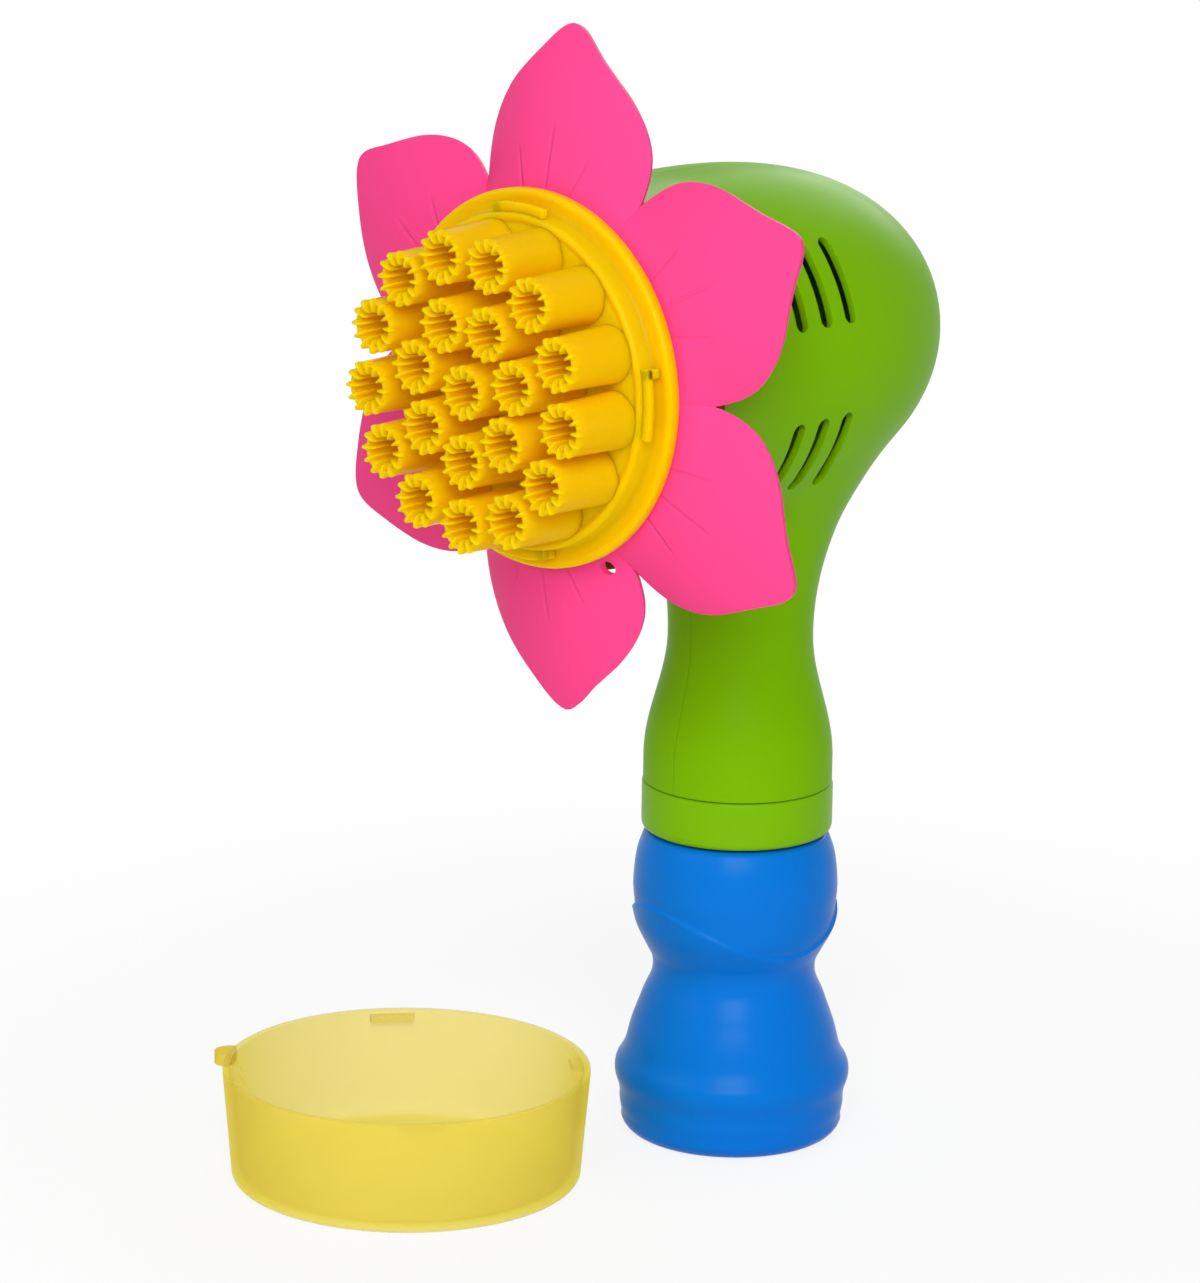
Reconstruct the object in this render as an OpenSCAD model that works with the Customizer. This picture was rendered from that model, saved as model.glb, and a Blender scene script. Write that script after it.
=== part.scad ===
// Motor bubble wand: a flower head with 21 ribbed bubble tubes, a fan in the head, two cells in the neck,
// a solution bottle screwed into the foot and a loose dip dish that also locks over the tubes.
// Millimetres. Z is up, the flower faces -Y, and the bottle stands on Z = 0 at the origin.

/* [Bottle] */
// radius of the bottle just above its heel
bottle_r = 27.2; // [26:0.1:29]
// rounding of the bottle's heel
bottle_heel = 5; // [3:0.5:7]
// radius of the bead round the bottle's foot
bottle_bead_r = 28.5; // [28:0.1:30]
// height of the bead's middle
bottle_bead_z = 15.8; // [14:0.1:17]
// radius where the bead runs out into the taper
bottle_taper_r = 26.2; // [25:0.1:27]
// height where the bead runs out into the taper
bottle_taper_z = 21.5; // [20.5:0.1:23]
// radius of the bottle's waist
bottle_waist_r = 19.6; // [18.5:0.1:22]
// height of the bottle's waist
bottle_waist_z = 41.5; // [38:0.1:44]
// radius at the foot of the upper bulb
bulb_low_r = 24.1; // [23:0.1:24.5]
// height of the foot of the upper bulb
bulb_low_z = 55.5; // [53:0.1:58]
// largest radius of the upper bulb
bulb_r = 24.7; // [24.5:0.1:26]
// height of the bulb's largest radius
bulb_z = 62.5; // [61:0.1:65]
// radius where the shoulder turns in to the mouth
shoulder_r = 22.2; // [21.5:0.1:23]
// height where the shoulder turns in to the mouth
shoulder_z = 75.4; // [74:0.1:75.8]
// wall of the bottle
bottle_wall = 1.2; // [0.8:0.1:1.6]
// outside radius of the bottle's mouth
mouth_r = 17.2; // [16.6:0.1:17.4]
// wall of the bottle's mouth
mouth_wall = 1.6; // [1.2:0.1:2]
// height of the mouth's lip
mouth_z = 85.2; // [84.5:0.1:85.4]
// rise of the bottle's thread in one turn
thread_pitch = 4; // [3.6:0.1:4.6]
// height of the thread ridges
thread_depth = 1.5; // [1.2:0.1:1.6]
// turns of each thread
thread_turns = 1.2; // [1:0.1:1.4]
// thickness of the sealing ring in the cap
seal_h = 0.9; // [0.7:0.1:1]

/* [Cap at the foot] */
// outside radius of the cap
cap_r = 23; // [22.8:0.1:24]
// height of the cap's lower edge
cap_low_z = 76.6; // [76.4:0.1:77]
// height of the cap's upper edge
cap_top_z = 88.4; // [88.2:0.1:88.5]
// thickness of the cap's roof
cap_roof = 2; // [1.6:0.1:2.2]
// bore of the cap, to the root of its thread
cap_bore_r = 19.6; // [19.4:0.1:19.8]
// radius of the spigot that enters the housing
spigot_r = 18.5; // [18.2:0.1:18.7]
// wall of the spigot
spigot_wall = 2; // [1.6:0.1:2.4]
// radius of the spigot's holding flange
spigot_flange_r = 20.3; // [20:0.1:20.5]

/* [Housing] */
// wall of the housing
wall = 1.8; // [1.5:0.1:1.9]
// height of the housing's lower edge
foot_z = 88.7; // [88.6:0.1:88.9]
// radius of the housing's foot
foot_r = 22.75; // [22.7:0.05:23]
// height where the foot starts to narrow
foot_top_z = 94.5; // [94:0.1:96]
// radius of the neck
neck_r = 17.4; // [17.3:0.1:17.8]
// height where the neck is narrowest
neck_z = 125; // [122:0.5:128]
// radius of the curve by which the neck widens into the head
neck_sweep = 68; // [62:1:72]
// height of the head's centre line
head_z = 197.2; // [196:0.1:199]
// radius of the head where its rounded back ends
head_r = 42.3; // [42:0.1:42.6]
// reach of that place before the neck
head_mid = 24; // [22:0.5:26]
// distance of the head's back end behind the neck
head_back = 51; // [50:0.1:52]
// fullness of the head's rounded back, 2 for an ellipse
head_full = 2.37; // [2.25:0.01:2.5]
// extra radius of the head at its front edge
head_flare = 4.2; // [4:0.1:4.8]
// reach of the head's front edge before the neck
head_front = 58; // [57.5:0.1:58.5]
// width of an air slot
vent_w = 2.9; // [2:0.1:4]
// distance between air slots
vent_pitch = 8.5; // [7:0.1:9]
// reach of the rearmost air slot before the neck
vent_first = 9.4; // [6:0.1:10]
// air slots in one group
vent_count = 4; // [3:1:4]
// angle above or below the middle at which the slots start
vent_from = 17; // [14:0.5:20]
// angle above or below the middle at which the slots end
vent_to = 41.5; // [36:0.1:46]
// angle by which both groups of slots sit below the middle
vent_low = 0.4; // [0:0.1:3]
// radius of the housing's screw posts
post_r = 2.8; // [2.4:0.1:3]
// gap where the two halves of the housing meet
parting = 0.1; // [0.04:0.02:0.2]

/* [Flower] */
// reach of a petal's tip from the flower's middle
petal_tip = 80.3; // [76:0.1:86]
// half of a petal's greatest width
petal_half = 25.3; // [24.8:0.1:26.5]
// thickness of a petal
petal_t = 1.8; // [1.6:0.1:2.4]
// radius of a petal's dome across its width
petal_dome = 52; // [46:0.5:70]
// radius of a petal's bend along its length
petal_bend = 232; // [180:1:300]
// angle by which a petal leans back at its root
petal_lean = 9.2; // [7:0.1:11]
// reach before the neck of a petal's middle line at its root
petal_reach = 68.9; // [68.3:0.1:69.1]
// petals
petal_count = 6; // [5:1:6]
// radius of the flower's hub, to the edge of its cone
hub_r = 47.9; // [47:0.1:48.4]
// radius of the hub's bore
hub_bore_r = 38.6; // [38.4:0.1:38.8]
// radius of the small hole in the lower petal
tie_hole_r = 1.75; // [1.4:0.05:2]

/* [Bubble nozzle] */
// radius of the nozzle's flange
flange_r = 43.8; // [43:0.1:45]
// reach of the flange's back before the neck
flange_back = 70; // [69.8:0.1:70.2]
// thickness of the flange
flange_t = 3; // [2.5:0.1:3.2]
// radius of the nozzle's drum
drum_r = 39; // [38.8:0.1:39.2]
// reach of the drum's face before the neck
drum_front = 77.5; // [77.3:0.1:78]
// radius inside the drum
drum_bore_r = 37; // [36.8:0.1:37.2]
// reach of the tubes' tips before the neck
tube_front = 95.8; // [92:0.1:96.5]
// outside radius of a tube
tube_r = 6.2; // [5.8:0.1:6.4]
// radius of a tube's bore between its ribs
tube_bore_r = 4.8; // [4.4:0.1:5]
// radius to the tips of the ribs
rib_tip_r = 3.1; // [2.7:0.1:3.4]
// ribs in a tube
rib_count = 12; // [10:1:14]
// width of a rib
rib_w = 0.9; // [0.6:0.1:1]
// height of the teeth at a tube's tip
tooth_h = 1; // [0.6:0.1:1.4]
// tubes in the outer ring
outer_tubes = 13; // [11:1:13]
// radius of the outer ring
outer_ring = 30.9; // [30.6:0.1:31]
// tubes in the inner ring
inner_tubes = 7; // [5:1:7]
// radius of the inner ring
inner_ring = 16; // [15.6:0.1:16.4]
// radius to the outside of the four locking hooks
hook_r = 41.2; // [41:0.1:41.3]

/* [Fan and motor] */
// outside radius of the air duct
duct_r = 33.5; // [33:0.1:33.7]
// wall of the air duct
duct_wall = 1.5; // [1.2:0.1:2.2]
// reach of the duct's front before the neck
duct_front = 61; // [58:0.5:61.5]
// reach of the duct's back before the neck
duct_back = 36; // [36:0.1:36.5]
// blades of the fan
blade_count = 6; // [4:1:8]
// gap between the blades and the duct
blade_gap = 1; // [0.8:0.1:2]
// pitch of the blades
blade_angle = 38; // [30:1:45]
// radius of the fan's hub
fan_hub_r = 7; // [6:0.1:9]
// radius of the motor's can
motor_r = 10; // [9.5:0.1:10.5]
// width of the motor across its flats
motor_flat = 15.2; // [14.8:0.1:16]
// length of the motor's can
motor_len = 25; // [22:0.5:27]
// radius of the motor's shaft
shaft_r = 1; // [0.8:0.05:1.2]

/* [Cells and switch] */
// radius of a cell, size AA
cell_r = 7.25; // [7:0.05:7.25]
// length of a cell with its terminal
cell_len = 50.5; // [49.5:0.1:50.5]
// gap round a cell
cell_gap = 0.3; // [0.2:0.05:0.3]
// radius of the cell holder
cradle_r = 15.2; // [15.1:0.1:15.3]
// height of the cell holder's floor
cradle_z = 89.2; // [89:0.1:89.4]
// travel of the trigger
trigger_travel = 2.5; // [1.5:0.1:2.5]
// width of the trigger
trigger_w = 11; // [9:0.2:11.4]
// height of the trigger's lower edge
trigger_low = 146.9; // [146.7:0.1:147.4]
// height of the trigger's upper edge
trigger_high = 153.5; // [153:0.1:153.6]
// reach of the trigger's face before the neck
trigger_front = 27.5; // [26.5:0.1:28.5]
// gap round the trigger
trigger_gap = 0.4; // [0.3:0.05:0.5]
// radius of the electric wires
wire_r = 0.7; // [0.5:0.05:0.8]

/* [Cell door] */
// half of the door's width
door_half = 7.7; // [7.6:0.1:8.2]
// height of the door's lower edge
door_low = 98.6; // [98.4:0.1:99]
// height of the door's upper edge
door_high = 151.8; // [151.6:0.1:152.4]
// gap round the door
door_gap = 0.3; // [0.2:0.05:0.4]
// radius of the bead on which the door tilts
bead_r = 0.85; // [0.7:0.05:0.9]
// height of the door's screw
door_screw_z = 148.2; // [148:0.1:148.6]

/* [Dip dish] */
// distance of the dish to the left of the bottle
dish_left = 30.1; // [20:0.1:40]
// distance of the dish before the bottle
dish_before = 81.4; // [78:0.1:90]
// outside radius of the dish's rim
dish_r = 43.7; // [43.5:0.1:44.5]
// radius of the dish at its foot
dish_foot_r = 41.4; // [41.2:0.1:42]
// height of the dish
dish_h = 27.6; // [26:0.1:30]
// wall of the dish
dish_wall = 1.8; // [1.6:0.1:2]
// rounding of the dish's heel
dish_heel = 3.5; // [2.5:0.1:4.5]
// radius to the inside of the dish's locking lugs
lug_r = 39.5; // [39.4:0.1:40]
// radius of the ear round its hole
ear_r = 4.4; // [4:0.1:5]

/* [Hidden] */
$fn = 96;

far = 200;
cut = 1;
touch = 0.05;
small_fn = 32;

green = [0.42, 0.68, 0.12];
pink = [0.90, 0.35, 0.62];
yellow = [0.98, 0.78, 0.08];
blue = [0.10, 0.35, 0.80];
steel = [0.70, 0.71, 0.73];
brass = [0.80, 0.66, 0.32];
dark = [0.12, 0.12, 0.13];
white = [0.90, 0.90, 0.88];

// bottle: how far the bead reaches down, the thread's place and the roots sunk into the walls
bead_below = 6;
thread_up = 1.3;
thread_sink = 0.3;
shoulder_lap = 0.6;
seal_edge = 0.6;
cap_edge = 1.6;
cap_lip = 0.3;
// tongue under the housing's foot, held together by a groove in the cap
hoop_r = 21.8;
hoop_t = 1.2;
hoop_h = 1.2;
hoop_gap = 0.2;

// screws, all with round heads
screw_r = 1.25;
screw_head_r = 2.3;
screw_head_h = 1.8;
screw_gap = 0.15;
screw_seat = 6;
screw_len = 12;
socket_half = 1.6;
socket_w = 0.7;
socket_depth = 0.7;

// places of the housing's screws: reach before the neck and height
post_gap = 4.5;
post_reach = 40;
post_back = 17.3;
post_rise = 24;
screw_places = [[post_back - head_back, head_z + post_rise], [post_back - head_back, head_z - post_rise],
    [post_reach, head_z + duct_r + post_gap], [post_reach, head_z - duct_r - post_gap]];
screw_bite = 1.5;

// fits between pieces
fit_gap = 0.3;
slide_gap = 0.4;

// rings in the head on both sides of the duct's lip
ring_t = 1.8;
duct_lip = 2.7;
duct_lip_t = 2;
duct_lip_back = 44.6;

// the flower's snap ring behind the head's front ring, and its hub
snap_wall = 2;
snap_lip = 2.8;
snap_t = 2;
snap_back = 52.9;
snap_ring_r = hub_bore_r + snap_wall;
front_ring_t = 2;
snap_play = 0.5;
front_ring_back = snap_back + snap_t + snap_play;
hub_t = 1.8;
cone_in = 5.3;
cone_top = 2.8;
cone_drop = 3.8;
skirt_in = 3.5;
petal_root = 44;

// tabs inside the hub that the nozzle is screwed to, and the nozzle's collar
tab_back = 64;
tab_t = 1.6;
tab_in = 3;
collar_back = 66;
nozzle_post_r = 2.2;
nozzle_post_end = 1;
nozzle_screw_len = 9;
nozzle_screw_ring = 34.6;
nozzle_screw_angles = [for (k = [0.5, 4.5, 8.5]) -90 + k * 360 / outer_tubes];
nozzle_face = 1.8;
face_seat = 0.6;
face_r = drum_bore_r + face_seat;
tube_seat = 0.6;
tube_spigot_r = tube_r - tube_seat;
rim_in = 0.3;
rim_w = 1;
rim_h = 0.6;
tube_fn = 48;

// locking hooks: angles before and after each quarter, the stop at their end and their front face
hook_from = -10.5;
hook_angle = 23.5;
hook_stop = 3;
hook_lip = 0.3;
hook_t = 1.6;
hook_front = 77;

// the cap's spigot behind the ring in the housing's foot
foot_ring_t = 2.4;
spigot_flange_t = 1.8;

// steps along the curves of the head, the neck and the slots' ends
head_turn = 5;
flare_steps = 8;
flare_power = 1.9;
neck_step = 2.5;
slot_turn = 22.5;
neck_sink = 7.1;
neck_full_z = head_z - head_r + neck_sink;
neck_top_z = neck_full_z + neck_sink;

cradle_floor_t = 1.6;
plate_t = 0.4;
tab_x = 4.9;
spring_gap_z = 2.4;
nub_r = 2.7;
nub_h = 1.2;
cell_y = cell_r + cell_gap / 2;
front_cell_z = cradle_z + cradle_floor_t + plate_t + spring_gap_z;
rear_cell_z = cradle_z + cradle_floor_t + plate_t;
contact_z = front_cell_z + cell_len;
cradle_top_z = contact_z + plate_t;
cradle_top_t = 1.5;
press_gap = 0.2;
// cell holder: side bores for weight, open front above, contact slots, and the post for the door's screw
bore_x = 12;
bore_r = 2.2;
front_open = 11;
slot_x = 3.4;
slot_w = 3;
post_w = 5.6;
post_t = 2;
post_y = 12.4;
screw_boss_end = 17;
screw_boss_r = 2.8;
screw_hole_r = 1.9;
screw_hole_depth = 7;
// contacts: half width of a plate, the coils on them and the tabs for the wires
contact_half = 4.5;
coil_wide = 4.6;
coil_narrow = 3.2;
coil_wire = 0.35;
coil_turns = 1.5;
tab_w = 2;
tab_h = 4;
guide_y = 7.2;
guide_t = 1.5;
guide_half = 8;
guide_end = 4;
stem_r = 2.2;
stem_z = (trigger_low + trigger_high) / 2;
stem_hole_r = stem_r + trigger_gap;
trigger_flange_front = 16.4;
trigger_flange_t = 1.6;
trigger_flange_half = 7.6;
trigger_flange_under = 0.8;
trigger_flange_over = 1.2;
trigger_round = 9;
trigger_straight = 6;
trigger_lap = 0.2;
stem_end = 0.2;
spring_r = 3.4;
spring_wire = 0.3;
spring_turns = 4.5;
// switch: its box, the well for the trigger's stem, the notch over the contact's tab and its own tabs
switch_half = 5;
switch_len = 9;
switch_over = 4.5;
switch_low = cradle_top_z + cradle_top_t + press_gap;
switch_high = stem_z + switch_over;
stem_room = 2;
well_depth = 6;
notch_x = 3;
notch_len = 4;
notch_h = 2;
switch_tab_x = 3;
switch_tab_w = 1.6;
switch_tab_len = 2.5;
switch_tab_t = 0.6;

// motor mount: its ring, the lip in the duct, the plate before the motor and the spokes
mount_t = 2.5;
mount_ring = 3.5;
mount_lip = 2;
mount_bite = 0.5;
mount_edge = 1;
spoke_w = 4;
spoke_end = 2;
// motor: the boss round its shaft, its screws and its terminals
boss_r = 3;
boss_h = 1.5;
motor_screw_x = 6;
motor_screw_len = 6;
motor_hole = 5;
shaft_play = 0.05;
shaft_seat = 4;
shaft_in = 5;
terminal_w = 2.4;
terminal_t = 0.8;
terminal_len = 3;
// fan
blade_t = 1.4;
blade_edge = 0.5;
hub_press = 0.02;
motor_front = duct_back - mount_t;
motor_back = motor_front - motor_len;
terminal_x = 5;
fan_front = 47.5;
fan_back = 38.5;

// cell door: room behind it, and the boss that its screw sits in
door_back_gap = 0.2;
door_boss_y = 17.4;
door_boss_r = 3.2;
door_boss_wall = 1;
door_screw_len = 5.4;
bead_drop = 0.4;
bead_z = door_low - bead_drop;
bead_y = 21.4;
bead_half = 6;
// room under the door for its lower edge to swing into
door_relief = 1.8;

// dish: rounding of its rim, its lugs and its ear
rim_outer = 0.5;
rim_inner = 0.4;
lug_sink = 0.3;
ear_under = 0.5;
lug_h = 1.6;
lug_low = 1;
lug_angle = 15;
lug_start = 50.5;
ear_angle = 210.5;
ear_t = 1.8;
ear_out = 3.6;
ear_hole_reach = dish_r + ear_out;

function ease(a, b, t) = a + (b - a) * (1 - cos(180 * t)) / 2;
function run(z0, r0, z1, r1, n) = [for (i = [1 : n]) [ease(r0, r1, i / n), z0 + (z1 - z0) * i / n]];

// outline of the bottle's outside from the heel to the shoulder, as radius and height
function bottle_side(o) = concat(
    [for (a = [0 : 15 : 90]) [bottle_r - bottle_heel + (bottle_heel - o) * sin(a),
        bottle_heel - (bottle_heel - o) * cos(a)]],
    [[bottle_r - o, bottle_bead_z - bead_below]],
    [for (p = run(bottle_bead_z - bead_below, bottle_r, bottle_bead_z, bottle_bead_r, 5)) [p[0] - o, p[1]]],
    [for (p = run(bottle_bead_z, bottle_bead_r, bottle_taper_z, bottle_taper_r, 5)) [p[0] - o, p[1]]],
    [for (p = run(bottle_taper_z, bottle_taper_r, bottle_waist_z, bottle_waist_r, 10)) [p[0] - o, p[1]]],
    [for (p = run(bottle_waist_z, bottle_waist_r, bulb_low_z, bulb_low_r, 9)) [p[0] - o, p[1]]],
    [for (p = run(bulb_low_z, bulb_low_r, bulb_z, bulb_r, 4)) [p[0] - o, p[1]]],
    [for (i = [1 : 6]) [shoulder_r + (bulb_r - shoulder_r) * cos(15 * i) - o,
        bulb_z + (shoulder_z - bulb_z) * i / 6]]);

// radius of the neck at a height
function neck_at(z) = z <= foot_top_z ? foot_r
    : z <= neck_z ? ease(foot_r, neck_r, (z - foot_top_z) / (neck_z - foot_top_z))
    : neck_r + pow(min(z, neck_full_z) - neck_z, 2) / (2 * neck_sweep);

// radius of the head's front at a reach before the neck
function head_at(reach) = head_r
    + head_flare * pow((reach - head_mid) / (head_front - head_mid), flare_power);

module along_head() {
    translate([0, 0, head_z])
        rotate([90, 0, 0])
            children();
}

module tube(outer, inner, low, high) {
    difference() {
        translate([0, 0, low])
            cylinder(r = outer, h = high - low);
        translate([0, 0, low - cut])
            cylinder(r = inner, h = high - low + 2 * cut);
    }
}

module arc_block(inner, outer, low, high, from, angle) {
    rotate([0, 0, from])
        rotate_extrude(angle = angle)
            translate([inner, low])
                square([outer - inner, high - low]);
}

// ridge that climbs round the Z axis, with a flat crest
module thread_ridge(root, crest, start_z, turns, from) {
    per_turn = 20;
    n = ceil(turns * per_turn);
    half_root = 0.95;
    half_crest = 0.45;
    rings = [for (i = [0 : n]) let (a = from + 360 * i / per_turn, z = start_z + thread_pitch * i / per_turn)
        [for (q = [[root, -half_root], [crest, -half_crest], [crest, half_crest], [root, half_root]])
            [q[0] * cos(a), q[0] * sin(a), z + q[1]]]];
    flip = crest < root;
    quads = [for (i = [0 : n - 1]) for (j = [0 : 3]) let (k = (j + 1) % 4)
        for (f = [[4 * i + j, 4 * i + k, 4 * i + 4 + k], [4 * i + j, 4 * i + 4 + k, 4 * i + 4 + j]])
            flip ? [f[2], f[1], f[0]] : f];
    ends = [[3, 2, 1], [3, 1, 0], [4 * n, 4 * n + 1, 4 * n + 2], [4 * n, 4 * n + 2, 4 * n + 3]];
    ends_turned = [for (f = ends) flip ? [f[2], f[1], f[0]] : f];
    polyhedron(points = [for (r = rings) each r], faces = concat(quads, ends_turned), convexity = 6);
}

// wire wound round the Z axis from low to high
module coil(r_low, r_high, thick, low, high, turns) {
    per_turn = 14;
    sides = 6;
    n = ceil(turns * per_turn);
    rings = [for (i = [0 : n]) let (a = 360 * i / per_turn, t = i / n, r = r_low + (r_high - r_low) * t,
            z = low + thick + (high - low - 2 * thick) * t)
        [for (j = [0 : sides - 1]) let (b = -360 * j / sides)
            [(r + thick * cos(b)) * cos(a), (r + thick * cos(b)) * sin(a), z + thick * sin(b)]]];
    sweep(rings, sides, n);
    rise = (high - low - 2 * thick) / turns;
    spread = abs(r_high - r_low) / turns;
    echo(least_gap = sqrt(rise * rise + spread * spread) - 2 * thick);
}

// closed skin over a row of rings
module sweep(rings, sides, n) {
    quads = [for (i = [0 : n - 1]) for (j = [0 : sides - 1]) let (k = (j + 1) % sides)
        for (f = [[sides * i + j, sides * i + sides + k, sides * i + k],
            [sides * i + j, sides * i + sides + j, sides * i + sides + k]]) f];
    first = [for (j = [0 : sides - 1]) j];
    last = [for (j = [sides - 1 : -1 : 0]) sides * n + j];
    polyhedron(points = [for (r = rings) each r], faces = concat(quads, [last, first]), convexity = 6);
}

function unit(v) = v / norm(v);
function heading(path, i) = unit(path[min(i + 1, len(path) - 1)] - path[max(i - 1, 0)]);

// round wire through the points of a path that never runs along X
module wire(path) {
    sides = 8;
    n = len(path) - 1;
    rings = [for (i = [0 : n]) let (t = heading(path, i), u = unit(cross(t, [1, 0, 0])), v = cross(t, u))
        [for (j = [0 : sides - 1]) let (b = 360 * j / sides)
            path[i] + wire_r * (cos(b) * u + sin(b) * v)]];
    sweep(rings, sides, n);
}

module screw(length) {
    difference() {
        union() {
            translate([0, 0, -length])
                cylinder(r = screw_r, h = length + touch);
            cylinder(r = screw_head_r, h = screw_head_h);
        }
        for (turn = [0, 90])
            rotate([0, 0, turn])
                translate([-socket_half, -socket_w / 2, screw_head_h - socket_depth])
                    cube([2 * socket_half, socket_w, socket_depth + cut]);
    }
}

// outside of the housing, or its inside at a depth below the skin
module housing_form(o) {
    power = 2 / head_full;
    along_head()
        rotate_extrude()
            polygon(concat(
                [for (a = [0 : head_turn : 90]) [(head_r - o) * pow(sin(a), power),
                    head_mid - (head_back + head_mid - o) * pow(cos(a), power)]],
                [for (i = [1 : flare_steps])
                    let (reach = head_mid + (head_front - head_mid) * i / flare_steps)
                    [head_at(reach) - o, reach]],
                o > 0 ? [[head_at(head_front) - o, head_front + cut], [0, head_front + cut]]
                    : [[0, head_front]]));
    rotate_extrude()
        polygon(concat([[0, foot_z - (o > 0 ? cut : 0)], [neck_at(foot_z) - o, foot_z - (o > 0 ? cut : 0)]],
            [for (z = [foot_top_z : neck_step : neck_top_z]) [neck_at(z) - o, z]],
            [[neck_at(neck_top_z) - o, neck_top_z], [0, neck_top_z]]));
}

// outline of an air slot with round ends
module slot_outline() {
    half = (head_r - wall / 2) * sin((vent_to - vent_from) / 2);
    polygon(concat(
        [for (a = [0 : slot_turn : 180]) [vent_w / 2 * cos(a), vent_w / 2 * sin(a) + half]],
        [for (a = [180 : slot_turn : 360]) [vent_w / 2 * cos(a), vent_w / 2 * sin(a) - half]]));
}

module vent_slots() {
    for (i = [0 : vent_count - 1])
        for (side = [1, -1])
            along_head()
                mirror([0, side < 0 ? 1 : 0, 0])
                    translate([0, 0, vent_first + i * vent_pitch])
                        rotate([0, 0, (vent_from + vent_to) / 2 - side * vent_low])
                            rotate([0, 90, 0])
                                translate([0, 0, duct_r])
                                    linear_extrude(far / 2 - duct_r)
                                        slot_outline();
}

// rings inside the head that hold the duct and the flower
module inner_rings() {
    intersection() {
        housing_form(wall / 2);
        along_head() {
            for (low = [duct_lip_back - slide_gap - ring_t, duct_lip_back + duct_lip_t + slide_gap])
                tube(far / 2, duct_r + fit_gap, low, low + ring_t);
            tube(far / 2, snap_ring_r + 2 * fit_gap, front_ring_back, front_ring_back + front_ring_t);
        }
    }
    intersection() {
        housing_form(wall / 2);
        tube(far / 2, spigot_r + slide_gap, foot_z, foot_z + foot_ring_t);
    }
    tube(hoop_r, hoop_r - hoop_t, foot_z - hoop_h, foot_z + hoop_t);
}

module screw_posts(r) {
    for (p = screw_places)
        translate([0, -p[0], p[1]])
            rotate([0, 90, 0])
                translate([0, 0, -far / 2])
                    cylinder(r = r, h = far, $fn = small_fn);
}

module housing_shell() {
    difference() {
        union() {
            difference() {
                housing_form(0);
                housing_form(wall);
            }
            inner_rings();
            intersection() {
                housing_form(wall / 2);
                screw_posts(post_r);
            }
        }
        translate([-trigger_w / 2 - trigger_gap, -far / 2, trigger_low - trigger_gap])
            cube([trigger_w + 2 * trigger_gap, far / 2 - guide_y,
                trigger_high - trigger_low + 2 * trigger_gap]);
        translate([-door_half - door_gap, cradle_r + door_back_gap, bead_z])
            cube([2 * (door_half + door_gap), far / 2, door_high + door_gap - bead_z]);
        translate([-door_half - door_gap, bead_y, bead_z])
            rotate([0, 90, 0])
                cylinder(r = bead_r + door_gap, h = 2 * (door_half + door_gap), $fn = small_fn);
        translate([-door_half - door_gap, bead_y, bead_z - door_relief])
            cube([2 * (door_half + door_gap), far / 2, door_relief + touch]);
    }
}

module half_space(side) {
    translate([side > 0 ? parting / 2 : -far - parting / 2, -far, 0])
        cube([far, 2 * far, 2 * far]);
}

module housing_right() {
    color(green)
        difference() {
            intersection() {
                housing_shell();
                half_space(1);
            }
            vent_slots();
            for (p = screw_places)
                translate([-cut, -p[0], p[1]])
                    rotate([0, 90, 0])
                        cylinder(r = screw_r + screw_gap, h = screw_len - screw_seat + screw_bite,
                            $fn = small_fn);
        }
}

module housing_left() {
    color(green)
        difference() {
            intersection() {
                housing_shell();
                half_space(-1);
            }
            mirror([1, 0, 0])
                vent_slots();
            for (p = screw_places)
                translate([0, -p[0], p[1]])
                    rotate([0, -90, 0]) {
                        translate([0, 0, -cut])
                            cylinder(r = screw_r + screw_gap, h = far, $fn = small_fn);
                        translate([0, 0, screw_seat])
                            cylinder(r = screw_head_r + screw_gap, h = far, $fn = small_fn);
                    }
        }
}

module housing_screws() {
    color(steel)
        for (p = screw_places)
            translate([-screw_seat - touch, -p[0], p[1]])
                rotate([0, -90, 0])
                    screw(screw_len);
}

// half outline of a petal: share of its reach and share of its half width
petal_outline = [[0.448, 0.87], [0.5165, 0.951], [0.5725, 0.986], [0.622, 1], [0.672, 0.98], [0.722, 0.923],
    [0.7715, 0.833], [0.8215, 0.705], [0.871, 0.533], [0.921, 0.356], [0.958, 0.2285], [0.977, 0.16],
    [0.989, 0.105], [0.997, 0.05], [1, 0]];
petal_from = 77;
petal_sweep = 16;

// one petal pointing along X: a sheet bent both ways, cut to its outline
module petal() {
    side = [for (p = petal_outline) [p[0] * petal_tip, p[1] * petal_half]];
    other = [for (i = [len(side) - 2 : -1 : 0]) [side[i][0], -side[i][1]]];
    intersection() {
        linear_extrude(height = far)
            polygon(concat(side, other));
        translate([petal_root - petal_bend * sin(petal_lean), 0, petal_reach - petal_bend * cos(petal_lean)])
            rotate([90, 0, 0])
                rotate([0, 0, petal_from - petal_sweep / 2])
                    rotate_extrude(angle = petal_sweep)
                        intersection() {
                            translate([petal_bend - petal_dome, 0])
                                difference() {
                                    circle(r = petal_dome);
                                    circle(r = petal_dome - petal_t);
                                }
                            translate([petal_bend - petal_dome / 2, -petal_half - cut])
                                square([petal_dome, 2 * (petal_half + cut)]);
                        }
    }
}

// place of the small hole in the lower petal
tie_reach = 45.9;
tie_angle = -65.9;

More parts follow.
